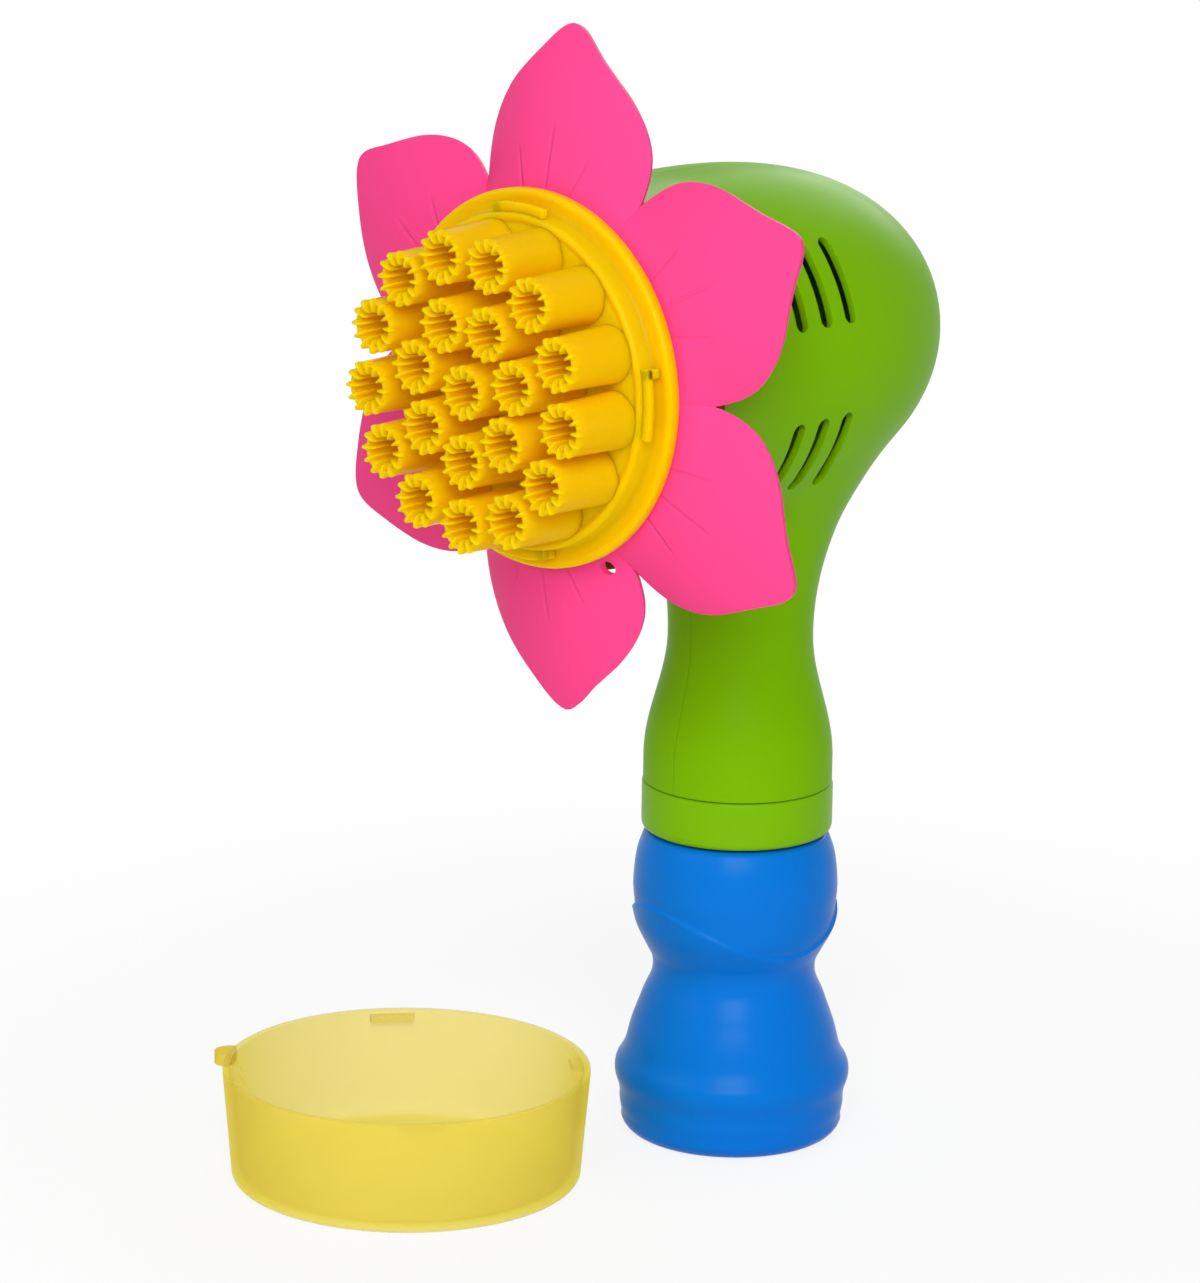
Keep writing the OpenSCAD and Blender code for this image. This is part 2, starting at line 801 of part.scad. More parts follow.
module flower() {
    plate = flange_back - touch;
    cone_z = plate - cone_top;
    skirt_r = hub_r - skirt_in;
    color(pink)
        along_head()
            difference() {
                union() {
                    difference() {
                        for (i = [0 : petal_count - 1])
                            rotate([0, 0, 90 + i * 360 / petal_count])
                                petal();
                        cylinder(r = skirt_r - hub_t / 2, h = far);
                    }
                    tube(hub_r - cone_in + touch, hub_bore_r, plate - hub_t, plate);
                    rotate_extrude()
                        polygon([[hub_r - cone_in, cone_z], [hub_r, cone_z - cone_drop],
                            [hub_r, cone_z - cone_drop - hub_t], [hub_r - cone_in, cone_z - hub_t],
                            [hub_r - cone_in - hub_t, cone_z - hub_t],
                            [hub_r - cone_in - hub_t, plate - hub_t / 2],
                            [hub_r - cone_in, plate - hub_t / 2]]);
                    tube(skirt_r, skirt_r - hub_t, head_front + slide_gap, cone_z - cone_drop / 2);
                    tube(snap_ring_r, hub_bore_r, snap_back, plate - hub_t / 2);
                    tube(snap_ring_r + snap_lip, hub_bore_r, snap_back, snap_back + snap_t);
                    for (a = nozzle_screw_angles)
                        rotate([0, 0, a])
                            intersection() {
                                tube(hub_bore_r + cut, nozzle_screw_ring - tab_in,
                                    tab_back, tab_back + tab_t);
                                translate([0, -2 * tab_in, tab_back - cut])
                                    cube([far, 4 * tab_in, 2 * cut + tab_t]);
                            }
                }
                rotate([0, 0, tie_angle])
                    translate([tie_reach, 0, 0])
                        cylinder(r = tie_hole_r, h = far, $fn = small_fn);
                for (a = nozzle_screw_angles)
                    rotate([0, 0, a])
                        translate([nozzle_screw_ring, 0, tab_back - cut])
                            cylinder(r = screw_r + screw_gap, h = tab_t + 2 * cut, $fn = small_fn);
            }
}

function ring_places(count, r) =
    [for (k = [0 : count - 1]) let (a = -90 + k * 360 / count) r * [cos(a), sin(a)]];
tube_places = concat([[0, 0]], ring_places(outer_tubes, outer_ring), ring_places(inner_tubes, inner_ring));

// a tube with its spigot, ribs standing in its bore, and teeth on the tip
module bubble_tube() {
    tooth_root = tube_front - tooth_h;
    difference() {
        union() {
            translate([0, 0, drum_front + touch])
                cylinder(r = tube_r, h = tooth_root - drum_front - touch, $fn = tube_fn);
            translate([0, 0, drum_front - nozzle_face])
                cylinder(r = tube_spigot_r, h = nozzle_face + cut, $fn = tube_fn);
        }
        translate([0, 0, drum_front - nozzle_face - cut])
            cylinder(r = tube_bore_r, h = far, $fn = tube_fn);
    }
    linear_extrude_ribs(drum_front - nozzle_face, tooth_root, tube_bore_r + touch);
    linear_extrude_ribs(tooth_root - touch, tube_front, tube_r - touch);
}

module linear_extrude_ribs(low, high, outer) {
    for (k = [0 : rib_count - 1])
        rotate([0, 0, k * 360 / rib_count])
            translate([rib_tip_r, -rib_w / 2, low])
                cube([outer - rib_tip_r, rib_w, high - low]);
}

module bubble_nozzle() {
    stop_low = flange_back + flange_t - touch;
    color(yellow)
        along_head()
            difference() {
                union() {
                    tube(flange_r, drum_bore_r, flange_back, flange_back + flange_t);
                    tube(drum_r, drum_bore_r, flange_back, drum_front);
                    tube(drum_r - rim_in, drum_r - rim_in - rim_w, drum_front - touch, drum_front + rim_h);
                    tube(hub_bore_r - fit_gap, drum_bore_r, collar_back, flange_back + touch);
                    for (a = [0 : 90 : 270]) {
                        arc_block(drum_r - touch, hook_r, hook_front - hook_t, hook_front,
                            a + hook_from, hook_angle);
                        arc_block(drum_r - touch, hook_r - hook_lip, stop_low, hook_front - hook_t / 2,
                            a + hook_from + hook_angle - hook_stop - hook_lip, hook_stop);
                    }
                }
                translate([0, 0, drum_front - nozzle_face - touch])
                    cylinder(r = face_r + touch, h = nozzle_face + cut);
            }
}

// plate that carries the tubes: it sits on a step in the nozzle's drum, and its posts take the screws
module tube_plate() {
    color(yellow)
        along_head()
            difference() {
                union() {
                    translate([0, 0, drum_front - nozzle_face])
                        cylinder(r = face_r, h = nozzle_face);
                    for (a = nozzle_screw_angles)
                        rotate([0, 0, a])
                            translate([nozzle_screw_ring, 0, collar_back])
                                cylinder(r = nozzle_post_r, h = drum_front - nozzle_post_end - collar_back,
                                    $fn = small_fn);
                }
                for (p = tube_places)
                    translate([p[0], p[1], drum_front - nozzle_face - cut])
                        cylinder(r = tube_spigot_r + touch, h = nozzle_face + 2 * cut, $fn = tube_fn);
                for (a = nozzle_screw_angles)
                    rotate([0, 0, a])
                        translate([nozzle_screw_ring, 0, collar_back - cut])
                            cylinder(r = screw_r + screw_gap, h = tab_back + nozzle_screw_len + screw_bite
                                - collar_back + cut, $fn = small_fn);
            }
}

module bubble_tubes() {
    color(yellow)
        along_head()
            for (p = tube_places)
                translate([p[0], p[1], 0])
                    bubble_tube();
}

module nozzle_screws() {
    color(steel)
        along_head()
            for (a = nozzle_screw_angles)
                rotate([0, 0, a])
                    translate([nozzle_screw_ring, 0, tab_back - touch])
                        mirror([0, 0, 1])
                            screw(nozzle_screw_len);
}

module air_duct() {
    color(white)
        along_head() {
            tube(duct_r, duct_r - duct_wall, duct_back, duct_front);
            tube(duct_r + duct_lip, duct_r - touch, duct_lip_back, duct_lip_back + duct_lip_t);
        }
}

module motor_mount() {
    color(white)
        along_head()
            difference() {
                union() {
                    tube(duct_r, duct_r - mount_ring, motor_front, duct_back - touch);
                    tube(duct_r - duct_wall - press_gap, duct_r - mount_ring, duct_back - mount_bite,
                        duct_back + mount_lip);
                    translate([0, 0, motor_front])
                        cylinder(r = motor_r + mount_edge, h = mount_t - touch);
                    for (a = [45 : 90 : 315])
                        rotate([0, 0, a])
                            translate([0, -spoke_w / 2, motor_front])
                                cube([duct_r - spoke_end, spoke_w, mount_t - touch]);
                }
                translate([0, 0, motor_front - cut])
                    cylinder(r = boss_r + slide_gap, h = mount_t + 2 * cut, $fn = small_fn);
                for (side = [1, -1])
                    translate([side * motor_screw_x, 0, motor_front - cut])
                        cylinder(r = screw_r + screw_gap, h = mount_t + 2 * cut, $fn = small_fn);
            }
}

module motor() {
    along_head() {
        color(steel)
            difference() {
                union() {
                    intersection() {
                        translate([0, 0, motor_back])
                            cylinder(r = motor_r, h = motor_len - touch);
                        translate([-motor_r, -motor_flat / 2, motor_back])
                            cube([2 * motor_r, motor_flat, motor_len]);
                    }
                    translate([0, 0, motor_front - 2 * touch])
                        cylinder(r = boss_r, h = boss_h + 2 * touch, $fn = small_fn);
                }
                for (side = [1, -1])
                    translate([side * motor_screw_x, 0, motor_front - motor_hole])
                        cylinder(r = screw_r + screw_gap, h = far, $fn = small_fn);
                translate([0, 0, motor_back + shaft_seat])
                    cylinder(r = shaft_r + shaft_play, h = far, $fn = small_fn);
            }
        color(brass)
            for (side = [1, -1])
                translate([side * terminal_x - terminal_w / 2, -terminal_t / 2, motor_back - terminal_len])
                    cube([terminal_w, terminal_t, terminal_len + touch]);
    }
}

module motor_screws() {
    color(steel)
        along_head()
            for (side = [1, -1])
                translate([side * motor_screw_x, 0, duct_back])
                    screw(motor_screw_len);
}

module motor_shaft() {
    color(steel)
        along_head()
            translate([0, 0, motor_back + shaft_in])
                cylinder(r = shaft_r, h = fan_front - cut - motor_back - shaft_in, $fn = small_fn);
}

module fan() {
    tip_r = duct_r - duct_wall - blade_gap;
    color(white)
        along_head()
            difference() {
                union() {
                    translate([0, 0, fan_back])
                        cylinder(r = fan_hub_r, h = fan_front - fan_back);
                    intersection() {
                        translate([0, 0, fan_back + blade_edge])
                            cylinder(r = tip_r, h = fan_front - fan_back - 2 * blade_edge);
                        for (k = [0 : blade_count - 1])
                            rotate([0, 0, k * 360 / blade_count])
                                translate([fan_hub_r - cut, 0, (fan_front + fan_back) / 2])
                                    rotate([blade_angle, 0, 0])
                                        translate([0, -far / 2, -blade_t / 2])
                                            cube([tip_r, far, blade_t]);
                    }
                }
                translate([0, 0, fan_back - cut])
                    cylinder(r = shaft_r + hub_press, h = far, $fn = small_fn);
            }
}

module cell(y, low, nub_up) {
    translate([0, y, low + (nub_up ? 0 : cell_len)])
        mirror([0, 0, nub_up ? 0 : 1]) {
            cylinder(r = cell_r, h = cell_len - nub_h);
            translate([0, 0, cell_len - nub_h - touch])
                cylinder(r = nub_r, h = nub_h, $fn = small_fn);
        }
}

module battery_front() {
    color(dark)
        cell(-cell_y, front_cell_z, true);
}

module battery_rear() {
    color(dark)
        cell(cell_y, rear_cell_z, false);
}

module battery_cradle() {
    slot_r = cell_r + cell_gap;
    low = cradle_z + cradle_floor_t;
    color(white) {
        difference() {
            translate([0, 0, cradle_z])
                cylinder(r = cradle_r, h = cradle_top_z + cradle_top_t - cradle_z);
            translate([0, -cell_y, low])
                cylinder(r = slot_r, h = cradle_top_z - low);
            translate([-slot_r, -cell_y, low])
                cube([2 * slot_r, far, cradle_top_z - low]);
            for (side = [1, -1])
                translate([side * bore_x, 0, cradle_z - cut])
                    cylinder(r = bore_r, h = far, $fn = small_fn);
            translate([-far / 2, -far - front_open, cradle_top_z])
                cube([far, far, far]);
            for (y = [-cell_y, cell_y])
                translate([slot_x, y - slot_w / 2, cradle_top_z - cut])
                    cube([slot_w, slot_w, far]);
        }
        difference() {
            union() {
                translate([-guide_half, -guide_y, cradle_top_z + cradle_top_t - touch])
                    cube([guide_half + guide_end, guide_t,
                        switch_high + mount_bite - cradle_top_z - cradle_top_t]);
                translate([-post_w / 2, post_y, cradle_top_z + cradle_top_t - touch])
                    cube([post_w, post_t, door_screw_z - cradle_top_z - cradle_top_t]);
                translate([0, screw_boss_end, door_screw_z])
                    rotate([90, 0, 0])
                        cylinder(r = screw_boss_r, h = screw_boss_end - post_y, $fn = small_fn);
            }
            translate([0, -guide_y + far / 4, stem_z])
                rotate([90, 0, 0])
                    cylinder(r = stem_hole_r, h = far / 2, $fn = small_fn);
            translate([0, screw_boss_end + cut, door_screw_z])
                rotate([90, 0, 0])
                    cylinder(r = screw_hole_r, h = screw_hole_depth + cut, $fn = small_fn);
        }
    }
}

module contact_bridge() {
    low = cradle_z + cradle_floor_t;
    color(brass) {
        translate([-contact_half, -cell_y - contact_half, low])
            cube([2 * contact_half, 2 * (cell_y + contact_half), plate_t - touch]);
        translate([0, -cell_y, 0])
            coil(coil_wide, coil_narrow, coil_wire, low + plate_t - 2 * touch, front_cell_z - touch,
                coil_turns);
    }
}

module contact_tab(y) {
    translate([-contact_half, y - contact_half, contact_z + touch])
        cube([2 * contact_half, 2 * contact_half, plate_t - 2 * touch]);
    translate([tab_x, y - tab_w / 2, contact_z + touch])
        cube([plate_t, tab_w, tab_h]);
    translate([contact_half - plate_t, y - tab_w / 2, contact_z + touch])
        cube([tab_x - contact_half + plate_t + touch, tab_w, plate_t - 2 * touch]);
}

module contact_plate() {
    color(brass)
        contact_tab(-cell_y);
}

module contact_spring() {
    color(brass) {
        contact_tab(cell_y);
        translate([0, cell_y, 0])
            coil(coil_narrow, coil_wide, coil_wire, rear_cell_z + cell_len + touch, contact_z + 2 * touch,
                coil_turns);
    }
}

module switch() {
    y0 = -guide_y + guide_t + touch;
    color(dark)
        difference() {
            translate([-switch_half, y0, switch_low])
                cube([2 * switch_half, switch_len, switch_high - switch_low]);
            translate([0, y0 + trigger_travel + stem_room, stem_z])
                rotate([90, 0, 0])
                    cylinder(r = stem_hole_r, h = well_depth, $fn = small_fn);
            translate([notch_x, y0 - cut, switch_low - cut])
                cube([far, notch_len + cut, notch_h + cut]);
        }
    color(brass)
        for (side = [1, -1])
            translate([side * switch_tab_x - switch_tab_w / 2, y0 + switch_len - touch,
                stem_z - switch_tab_t / 2])
                cube([switch_tab_w, switch_tab_len, switch_tab_t]);
}

module trigger() {
    h = trigger_high - trigger_low;
    color(green) {
        intersection() {
            translate([-trigger_w / 2, -trigger_front, trigger_low])
                cube([trigger_w, trigger_front - trigger_flange_front + trigger_lap, h]);
            translate([0, -trigger_front + trigger_round, trigger_low])
                cylinder(r = trigger_round, h = h);
        }
        translate([-trigger_w / 2, -trigger_front + trigger_straight, trigger_low])
            cube([trigger_w, trigger_front - trigger_straight - trigger_flange_front + trigger_lap, h]);
        translate([-trigger_flange_half, -trigger_flange_front, trigger_low - trigger_flange_under])
            cube([2 * trigger_flange_half, trigger_flange_t, h + trigger_flange_under + trigger_flange_over]);
        translate([0, -guide_y + guide_t - stem_end, stem_z])
            rotate([90, 0, 0])
                cylinder(r = stem_r, h = trigger_flange_front - guide_y + guide_t - 2 * stem_end,
                    $fn = small_fn);
    }
}

module trigger_spring() {
    color(steel)
        translate([0, -guide_y - touch, stem_z])
            rotate([90, 0, 0])
                coil(spring_r, spring_r, spring_wire, 0,
                    trigger_flange_front - trigger_flange_t - guide_y - 2 * touch, spring_turns);
}

switch_end = -guide_y + guide_t + switch_len + switch_tab_len - cut;
wire_lift = wire_r + switch_tab_t / 2 + touch;

// bends of the wires as side, depth and height, above the contacts, the switch's tabs or the head's middle
wire_up = 3;
red_bends = [[6.1, -7.4, 6], [6.5, -4.4, 10], [7, -2, 11.5], [7, 2, 12], [6.5, 5, 11], [5, 6.4, 9.5]];
red_end = [3, 6, 2.4];
blue_bends = [[-3, 7, 4], [-4, 10, 12], [-5, 11, 20], [-5, 10, 30]];
black_bends = [[6.4, 8, 6], [8, 10, 12], [8, 12, 22], [7, 12, 32], [6, 10, 38]];
motor_bends = [[4, -8], [-3, -3]];

function from_tab(y) = [tab_x + plate_t + wire_r + touch, y, contact_z + wire_up];
function to_motor(side) = concat([for (b = motor_bends) [side * terminal_x, b[0], head_z + b[1]]],
    [[side * terminal_x, -motor_back + terminal_len / 2, head_z - wire_lift]]);

module wire_switch() {
    color([0.75, 0.1, 0.08])
        wire(concat([from_tab(-cell_y)], [for (b = red_bends) b + [0, 0, contact_z]],
            [red_end + [0, 0, stem_z], [switch_tab_x, switch_end - wire_r, stem_z + wire_lift]]));
}

module wire_motor() {
    color([0.1, 0.2, 0.7])
        wire(concat([[-switch_tab_x, switch_end - wire_r / 2, stem_z + wire_lift]],
            [for (b = blue_bends) b + [0, 0, stem_z]], to_motor(-1)));
}

module wire_return() {
    color(dark)
        wire(concat([from_tab(cell_y)], [for (b = black_bends) b + [0, 0, contact_z]], to_motor(1)));
}

module battery_door() {
    color(green)
        difference() {
            union() {
                intersection() {
                    difference() {
                        housing_form(0);
                        housing_form(wall);
                    }
                    translate([-door_half, cradle_r + 2 * door_back_gap, door_low])
                        cube([2 * door_half, far / 2, door_high - door_low]);
                }
                intersection() {
                    housing_form(wall / 2);
                    translate([0, door_boss_y, door_screw_z])
                        rotate([-90, 0, 0])
                            cylinder(r = door_boss_r, h = far / 4, $fn = small_fn);
                }
                translate([-bead_half, bead_y, bead_z])
                    rotate([0, 90, 0])
                        cylinder(r = bead_r, h = 2 * bead_half, $fn = small_fn);
            }
            translate([0, door_boss_y - cut, door_screw_z])
                rotate([-90, 0, 0])
                    cylinder(r = screw_r + screw_gap, h = far, $fn = small_fn);
            translate([0, door_boss_y + door_boss_wall, door_screw_z])
                rotate([-90, 0, 0])
                    cylinder(r = screw_head_r + screw_gap, h = far, $fn = small_fn);
        }
}

module door_screw() {
    color(steel)
        translate([0, door_boss_y + door_boss_wall + touch, door_screw_z])
            rotate([-90, 0, 0])
                screw(door_screw_len);
}

module bottle_cap() {
    flange_z = foot_z + foot_ring_t + slide_gap;
    color(green) {
        difference() {
            union() {
                rotate_extrude()
                    polygon(concat([[0, cap_low_z]],
                        [for (a = [0 : 15 : 90]) [cap_r - cap_edge + cap_edge * sin(a),
                            cap_low_z + cap_edge - cap_edge * cos(a)]],
                        [[cap_r, cap_top_z - cap_lip], [cap_r - cap_lip, cap_top_z], [0, cap_top_z]]));
                tube(spigot_r, spigot_r - spigot_wall, cap_top_z - touch, flange_z + spigot_flange_t);
                tube(spigot_flange_r, spigot_r - spigot_wall, flange_z, flange_z + spigot_flange_t);
            }
            translate([0, 0, cap_low_z - cut])
                cylinder(r = cap_bore_r, h = cap_top_z - cap_roof - cap_low_z + cut);
            tube(hoop_r + hoop_gap, hoop_r - hoop_t - hoop_gap, foot_z - hoop_h - hoop_gap,
                cap_top_z + touch);
        }
        thread_ridge(cap_bore_r + thread_sink, cap_bore_r - thread_depth, cap_low_z + thread_up,
            thread_turns, 180);
    }
}

module bottle_seal() {
    color(white)
        tube(mouth_r + seal_edge, mouth_r - mouth_wall - seal_edge, mouth_z + touch, mouth_z + seal_h);
}

module bottle() {
    color(blue) {
        rotate_extrude()
            polygon(concat([[0, 0]], bottle_side(0),
                [[mouth_r, shoulder_z + shoulder_lap], [mouth_r, mouth_z], [mouth_r - mouth_wall, mouth_z],
                    [mouth_r - mouth_wall, shoulder_z - shoulder_lap]],
                [for (i = [len(bottle_side(0)) - 1 : -1 : 0]) bottle_side(bottle_wall)[i]],
                [[0, bottle_wall]]));
        thread_ridge(mouth_r - thread_sink, mouth_r + thread_depth, cap_low_z + thread_up, thread_turns, 0);
    }
}

module dip_dish() {
    slope = (dish_r - dish_foot_r) / dish_h;
    inner_heel = dish_heel - dish_wall;
    heel_x = dish_foot_r - dish_heel;
    ear_z = dish_h - ear_t - ear_under;
    color([0.98, 0.85, 0.2])
        translate([-dish_left, -dish_before, 0]) {
            rotate_extrude()
                polygon(concat([[0, 0]],
                    [for (a = [0 : 15 : 90]) [heel_x + dish_heel * sin(a) + slope * dish_heel * a / 90,
                        dish_heel - dish_heel * cos(a)]],
                    [[dish_r, dish_h - rim_outer], [dish_r - rim_outer, dish_h],
                        [dish_r - dish_wall + rim_inner, dish_h], [dish_r - dish_wall, dish_h - rim_inner]],
                    [for (a = [90 : -15 : 0]) [heel_x + inner_heel * sin(a) + slope * dish_heel * a / 90,
                        dish_heel - inner_heel * cos(a)]],
                    [[0, dish_wall]]));
            for (k = [0 : 3])
                arc_block(lug_r, dish_r - dish_wall + lug_sink, dish_h - lug_low - lug_h, dish_h - lug_low,
                    lug_start + 90 * k - lug_angle / 2, lug_angle);
            rotate([0, 0, ear_angle])
                difference() {
                    translate([0, 0, ear_z])
                        union() {
                            translate([ear_hole_reach, 0, 0])
                                cylinder(r = ear_r, h = ear_t);
                            translate([dish_r - cut, -ear_r, 0])
                                cube([ear_out + cut, 2 * ear_r, ear_t]);
                        }
                    translate([ear_hole_reach, 0, ear_z - cut])
                        cylinder(r = tie_hole_r, h = far, $fn = small_fn);
                    translate([0, 0, ear_z - cut])
                        cylinder(r = dish_r - dish_wall + lug_sink, h = far);
                }
        }
}

housing_right();
housing_left();
housing_screws();
flower();
bubble_nozzle();
tube_plate();
bubble_tubes();
nozzle_screws();
air_duct();
motor_mount();
motor();
motor_screws();
motor_shaft();
fan();
battery_front();
battery_rear();
battery_cradle();
contact_bridge();
contact_spring();
contact_plate();
switch();
trigger();
trigger_spring();
wire_switch();
wire_motor();
wire_return();
battery_door();
door_screw();
bottle_cap();
bottle_seal();
bottle();
dip_dish();
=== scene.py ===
import math

import bmesh
import bpy
from bpy.props import FloatProperty, FloatVectorProperty, IntProperty, PointerProperty
from mathutils import Matrix, Vector


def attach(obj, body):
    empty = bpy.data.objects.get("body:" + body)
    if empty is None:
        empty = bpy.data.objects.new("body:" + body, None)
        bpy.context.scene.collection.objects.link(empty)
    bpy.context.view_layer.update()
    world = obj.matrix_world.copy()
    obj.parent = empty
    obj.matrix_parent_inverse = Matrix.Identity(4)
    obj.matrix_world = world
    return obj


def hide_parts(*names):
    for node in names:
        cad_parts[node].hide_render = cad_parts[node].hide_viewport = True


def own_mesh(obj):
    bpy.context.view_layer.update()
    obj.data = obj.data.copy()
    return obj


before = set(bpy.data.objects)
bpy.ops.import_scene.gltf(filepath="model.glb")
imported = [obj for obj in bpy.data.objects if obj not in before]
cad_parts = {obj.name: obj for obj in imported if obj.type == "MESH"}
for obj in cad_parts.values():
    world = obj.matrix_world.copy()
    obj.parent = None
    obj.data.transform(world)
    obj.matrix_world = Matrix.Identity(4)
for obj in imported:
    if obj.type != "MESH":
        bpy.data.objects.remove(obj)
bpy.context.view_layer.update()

bl_info = {
    "name": "Flower bubble wand",
    "version": (1, 0, 0),
    "blender": (4, 5, 0),
    "location": "View3D > Sidebar > Bubble Wand",
    "description": "Dresses the packed bubble wand and sets its studio",
    "category": "Object",
}

# The pieces are shaped in millimetres and brought to metres as they are finished.
MM = 0.001
# Height of the head's axis. The head's pieces are placed by their reach before the neck's axis, towards -Y.
HEAD_Z = 197.2


# Colours and sizes


class WandLook(bpy.types.PropertyGroup):
    """Colours and small sizes of the wand."""

    green: FloatVectorProperty(
        name="Housing green", description="Colour of the housing, the trigger and the cap",
        subtype="COLOR", size=3, min=0, max=1, default=(0.190, 0.473, 0.001))
    pink: FloatVectorProperty(
        name="Flower pink", description="Colour of the petals",
        subtype="COLOR", size=3, min=0, max=1, default=(0.985, 0.065, 0.273))
    yellow: FloatVectorProperty(
        name="Nozzle yellow", description="Colour of the tubes and their flange",
        subtype="COLOR", size=3, min=0, max=1, default=(0.840, 0.500, 0.001))
    blue: FloatVectorProperty(
        name="Bottle blue", description="Colour of the bottle",
        subtype="COLOR", size=3, min=0, max=1, default=(0.001, 0.179, 0.676))
    dish: FloatVectorProperty(
        name="Dish yellow", description="Colour of the translucent dish",
        subtype="COLOR", size=3, min=0, max=1, default=(0.900, 0.755, 0.140))
    wall: FloatProperty(
        name="Housing wall", description="Thickness of the housing",
        subtype="DISTANCE", unit="LENGTH", min=0.001, max=0.003, default=0.0018)
    soft_edge: FloatProperty(
        name="Slot edge", description="Rounding of the air slots' edges",
        subtype="DISTANCE", unit="LENGTH", min=0.0001, max=0.001, default=0.0005)
    rib_count: IntProperty(
        name="Ribs", description="Ribs in each bubble tube", min=8, max=18, default=12)


# Shaping helpers


def new_object(bm, name, scale=MM):
    """Turns a bmesh into an object of the scene, brought to metres by its scale."""
    bmesh.ops.scale(bm, vec=(scale, scale, scale), verts=bm.verts)
    mesh = bpy.data.meshes.new(name)
    bm.to_mesh(mesh)
    bm.free()
    made = bpy.data.objects.new(name, mesh)
    bpy.context.scene.collection.objects.link(made)
    return made


def finish_piece(bm, name, material, body, nodes):
    """Turns a bmesh in millimetres into a finished piece that rides on a body."""
    piece = new_object(bm, name)
    for polygon in piece.data.polygons:
        polygon.use_smooth = True
    piece.data.materials.append(material)
    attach(piece, body)
    if nodes:
        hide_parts(*nodes)
    return piece


def apply_modifiers(piece):
    """Bakes a piece's modifiers into its mesh."""
    graph = bpy.context.evaluated_depsgraph_get()
    baked = bpy.data.meshes.new_from_object(piece.evaluated_get(graph))
    old = piece.data
    piece.modifiers.clear()
    piece.data = baked
    baked.name = piece.name
    bpy.data.meshes.remove(old)
    for polygon in baked.polygons:
        polygon.use_smooth = True


def keep_edges_sharp(piece, angle):
    """Splits the shading where faces meet at a sharper angle."""
    piece.data.set_sharp_from_angle(angle=math.radians(angle))


def soften(piece, width, segments, bevel_angle, sharp_angle):
    """Rounds a piece's sharp edges, then splits the shading where some are left."""
    bevel = piece.modifiers.new("soft_edges", "BEVEL")
    bevel.width = width
    bevel.segments = segments
    bevel.limit_method = "ANGLE"
    bevel.angle_limit = math.radians(bevel_angle)
    apply_modifiers(piece)
    keep_edges_sharp(piece, sharp_angle)


def thicken(piece, thickness):
    """Gives a sheet its wall, inwards from its face."""
    wall = piece.modifiers.new("wall", "SOLIDIFY")
    wall.thickness = thickness
    wall.offset = -1.0
    apply_modifiers(piece)


def clean(bm, distance=0.0005):
    """Merges doubles and points the faces outwards."""
    bmesh.ops.remove_doubles(bm, verts=bm.verts, dist=distance)
    bmesh.ops.recalc_face_normals(bm, faces=bm.faces)


def spin_outline(bm, outline, axis="Z", steps=128, angle=360.0, start=0.0, closed=False):
    """Turns an outline of radius and height about the wand's Z axis.

    With axis Y the outline holds radius and reach, and turns about the head's axis.
    """
    turn = math.radians(start)
    verts = []
    for radius, along in outline:
        if axis == "Z":
            place = (radius * math.cos(turn), radius * math.sin(turn), along)
        else:
            place = (radius * math.cos(turn), -along, HEAD_Z + radius * math.sin(turn))
        verts.append(bm.verts.new(place))
    edges = [bm.edges.new((a, b)) for a, b in zip(verts, verts[1:])]
    if closed:
        edges.append(bm.edges.new((verts[-1], verts[0])))
    full = abs(angle - 360.0) < 0.001
    axis_vector = (0, 0, 1) if axis == "Z" else (0, -1, 0)
    made = bmesh.ops.spin(
        bm, geom=verts + edges, cent=(0, 0, 0 if axis == "Z" else HEAD_Z), axis=axis_vector,
        angle=math.radians(angle), steps=steps, use_merge=full)
    if closed and not full:
        bmesh.ops.contextual_create(bm, geom=verts)
        last = [item for item in made["geom_last"] if isinstance(item, bmesh.types.BMVert)]
        bmesh.ops.contextual_create(bm, geom=last)


def arc(centre, radii, start, step, count):
    """Points of an outline's round stretch: the turn counts from straight down, outwards."""
    turns = [math.radians(start + step * k) for k in range(1, count + 1)]
    return [(centre[0] + radii[0] * math.sin(turn), centre[1] - radii[1] * math.cos(turn)) for turn in turns]


def grid_sheet(columns, rows, place):
    """A grid whose points are moved to place(u, v), with u and v from 0 to 1."""
    bm = bmesh.new()
    bmesh.ops.create_grid(bm, x_segments=columns, y_segments=rows, size=0.5)
    for vert in bm.verts:
        vert.co = Vector(place(vert.co.x + 0.5, vert.co.y + 0.5))
    return bm


def round_block(bm, length, width, low, high, steps=32):
    """A standing block with round ends: its length along X, its height from low to high."""
    made = bmesh.ops.create_circle(bm, cap_ends=True, radius=width / 2, segments=steps)
    verts = made["verts"]
    for vert in verts:
        vert.co.x += math.copysign((length - width) / 2, vert.co.x)
        vert.co.z = low
    faces = list({face for vert in verts for face in vert.link_faces})
    grown = bmesh.ops.extrude_face_region(bm, geom=faces, use_keep_orig=True)
    top = [item for item in grown["geom"] if isinstance(item, bmesh.types.BMVert)]
    bmesh.ops.translate(bm, vec=(0, 0, high - low), verts=top)
    return verts + top


def box_cutter(low, high):
    """A box between two corners."""
    bm = bmesh.new()
    for vert in bmesh.ops.create_cube(bm, size=1.0)["verts"]:
        vert.co = Vector(((low[k] + high[k]) / 2 + vert.co[k] * (high[k] - low[k]) for k in range(3)))
    return bm


def rod_cutter(bm, radius, start, end, segments=40):
    """Adds a round rod from one place to another."""
    start, end = Vector(start), Vector(end)
    along = end - start
    turn = along.to_track_quat("Z", "Y").to_matrix().to_4x4()
    bmesh.ops.create_cone(
        bm, cap_ends=True, segments=segments, radius1=radius, radius2=radius, depth=along.length,
        matrix=Matrix.Translation((start + end) / 2) @ turn)


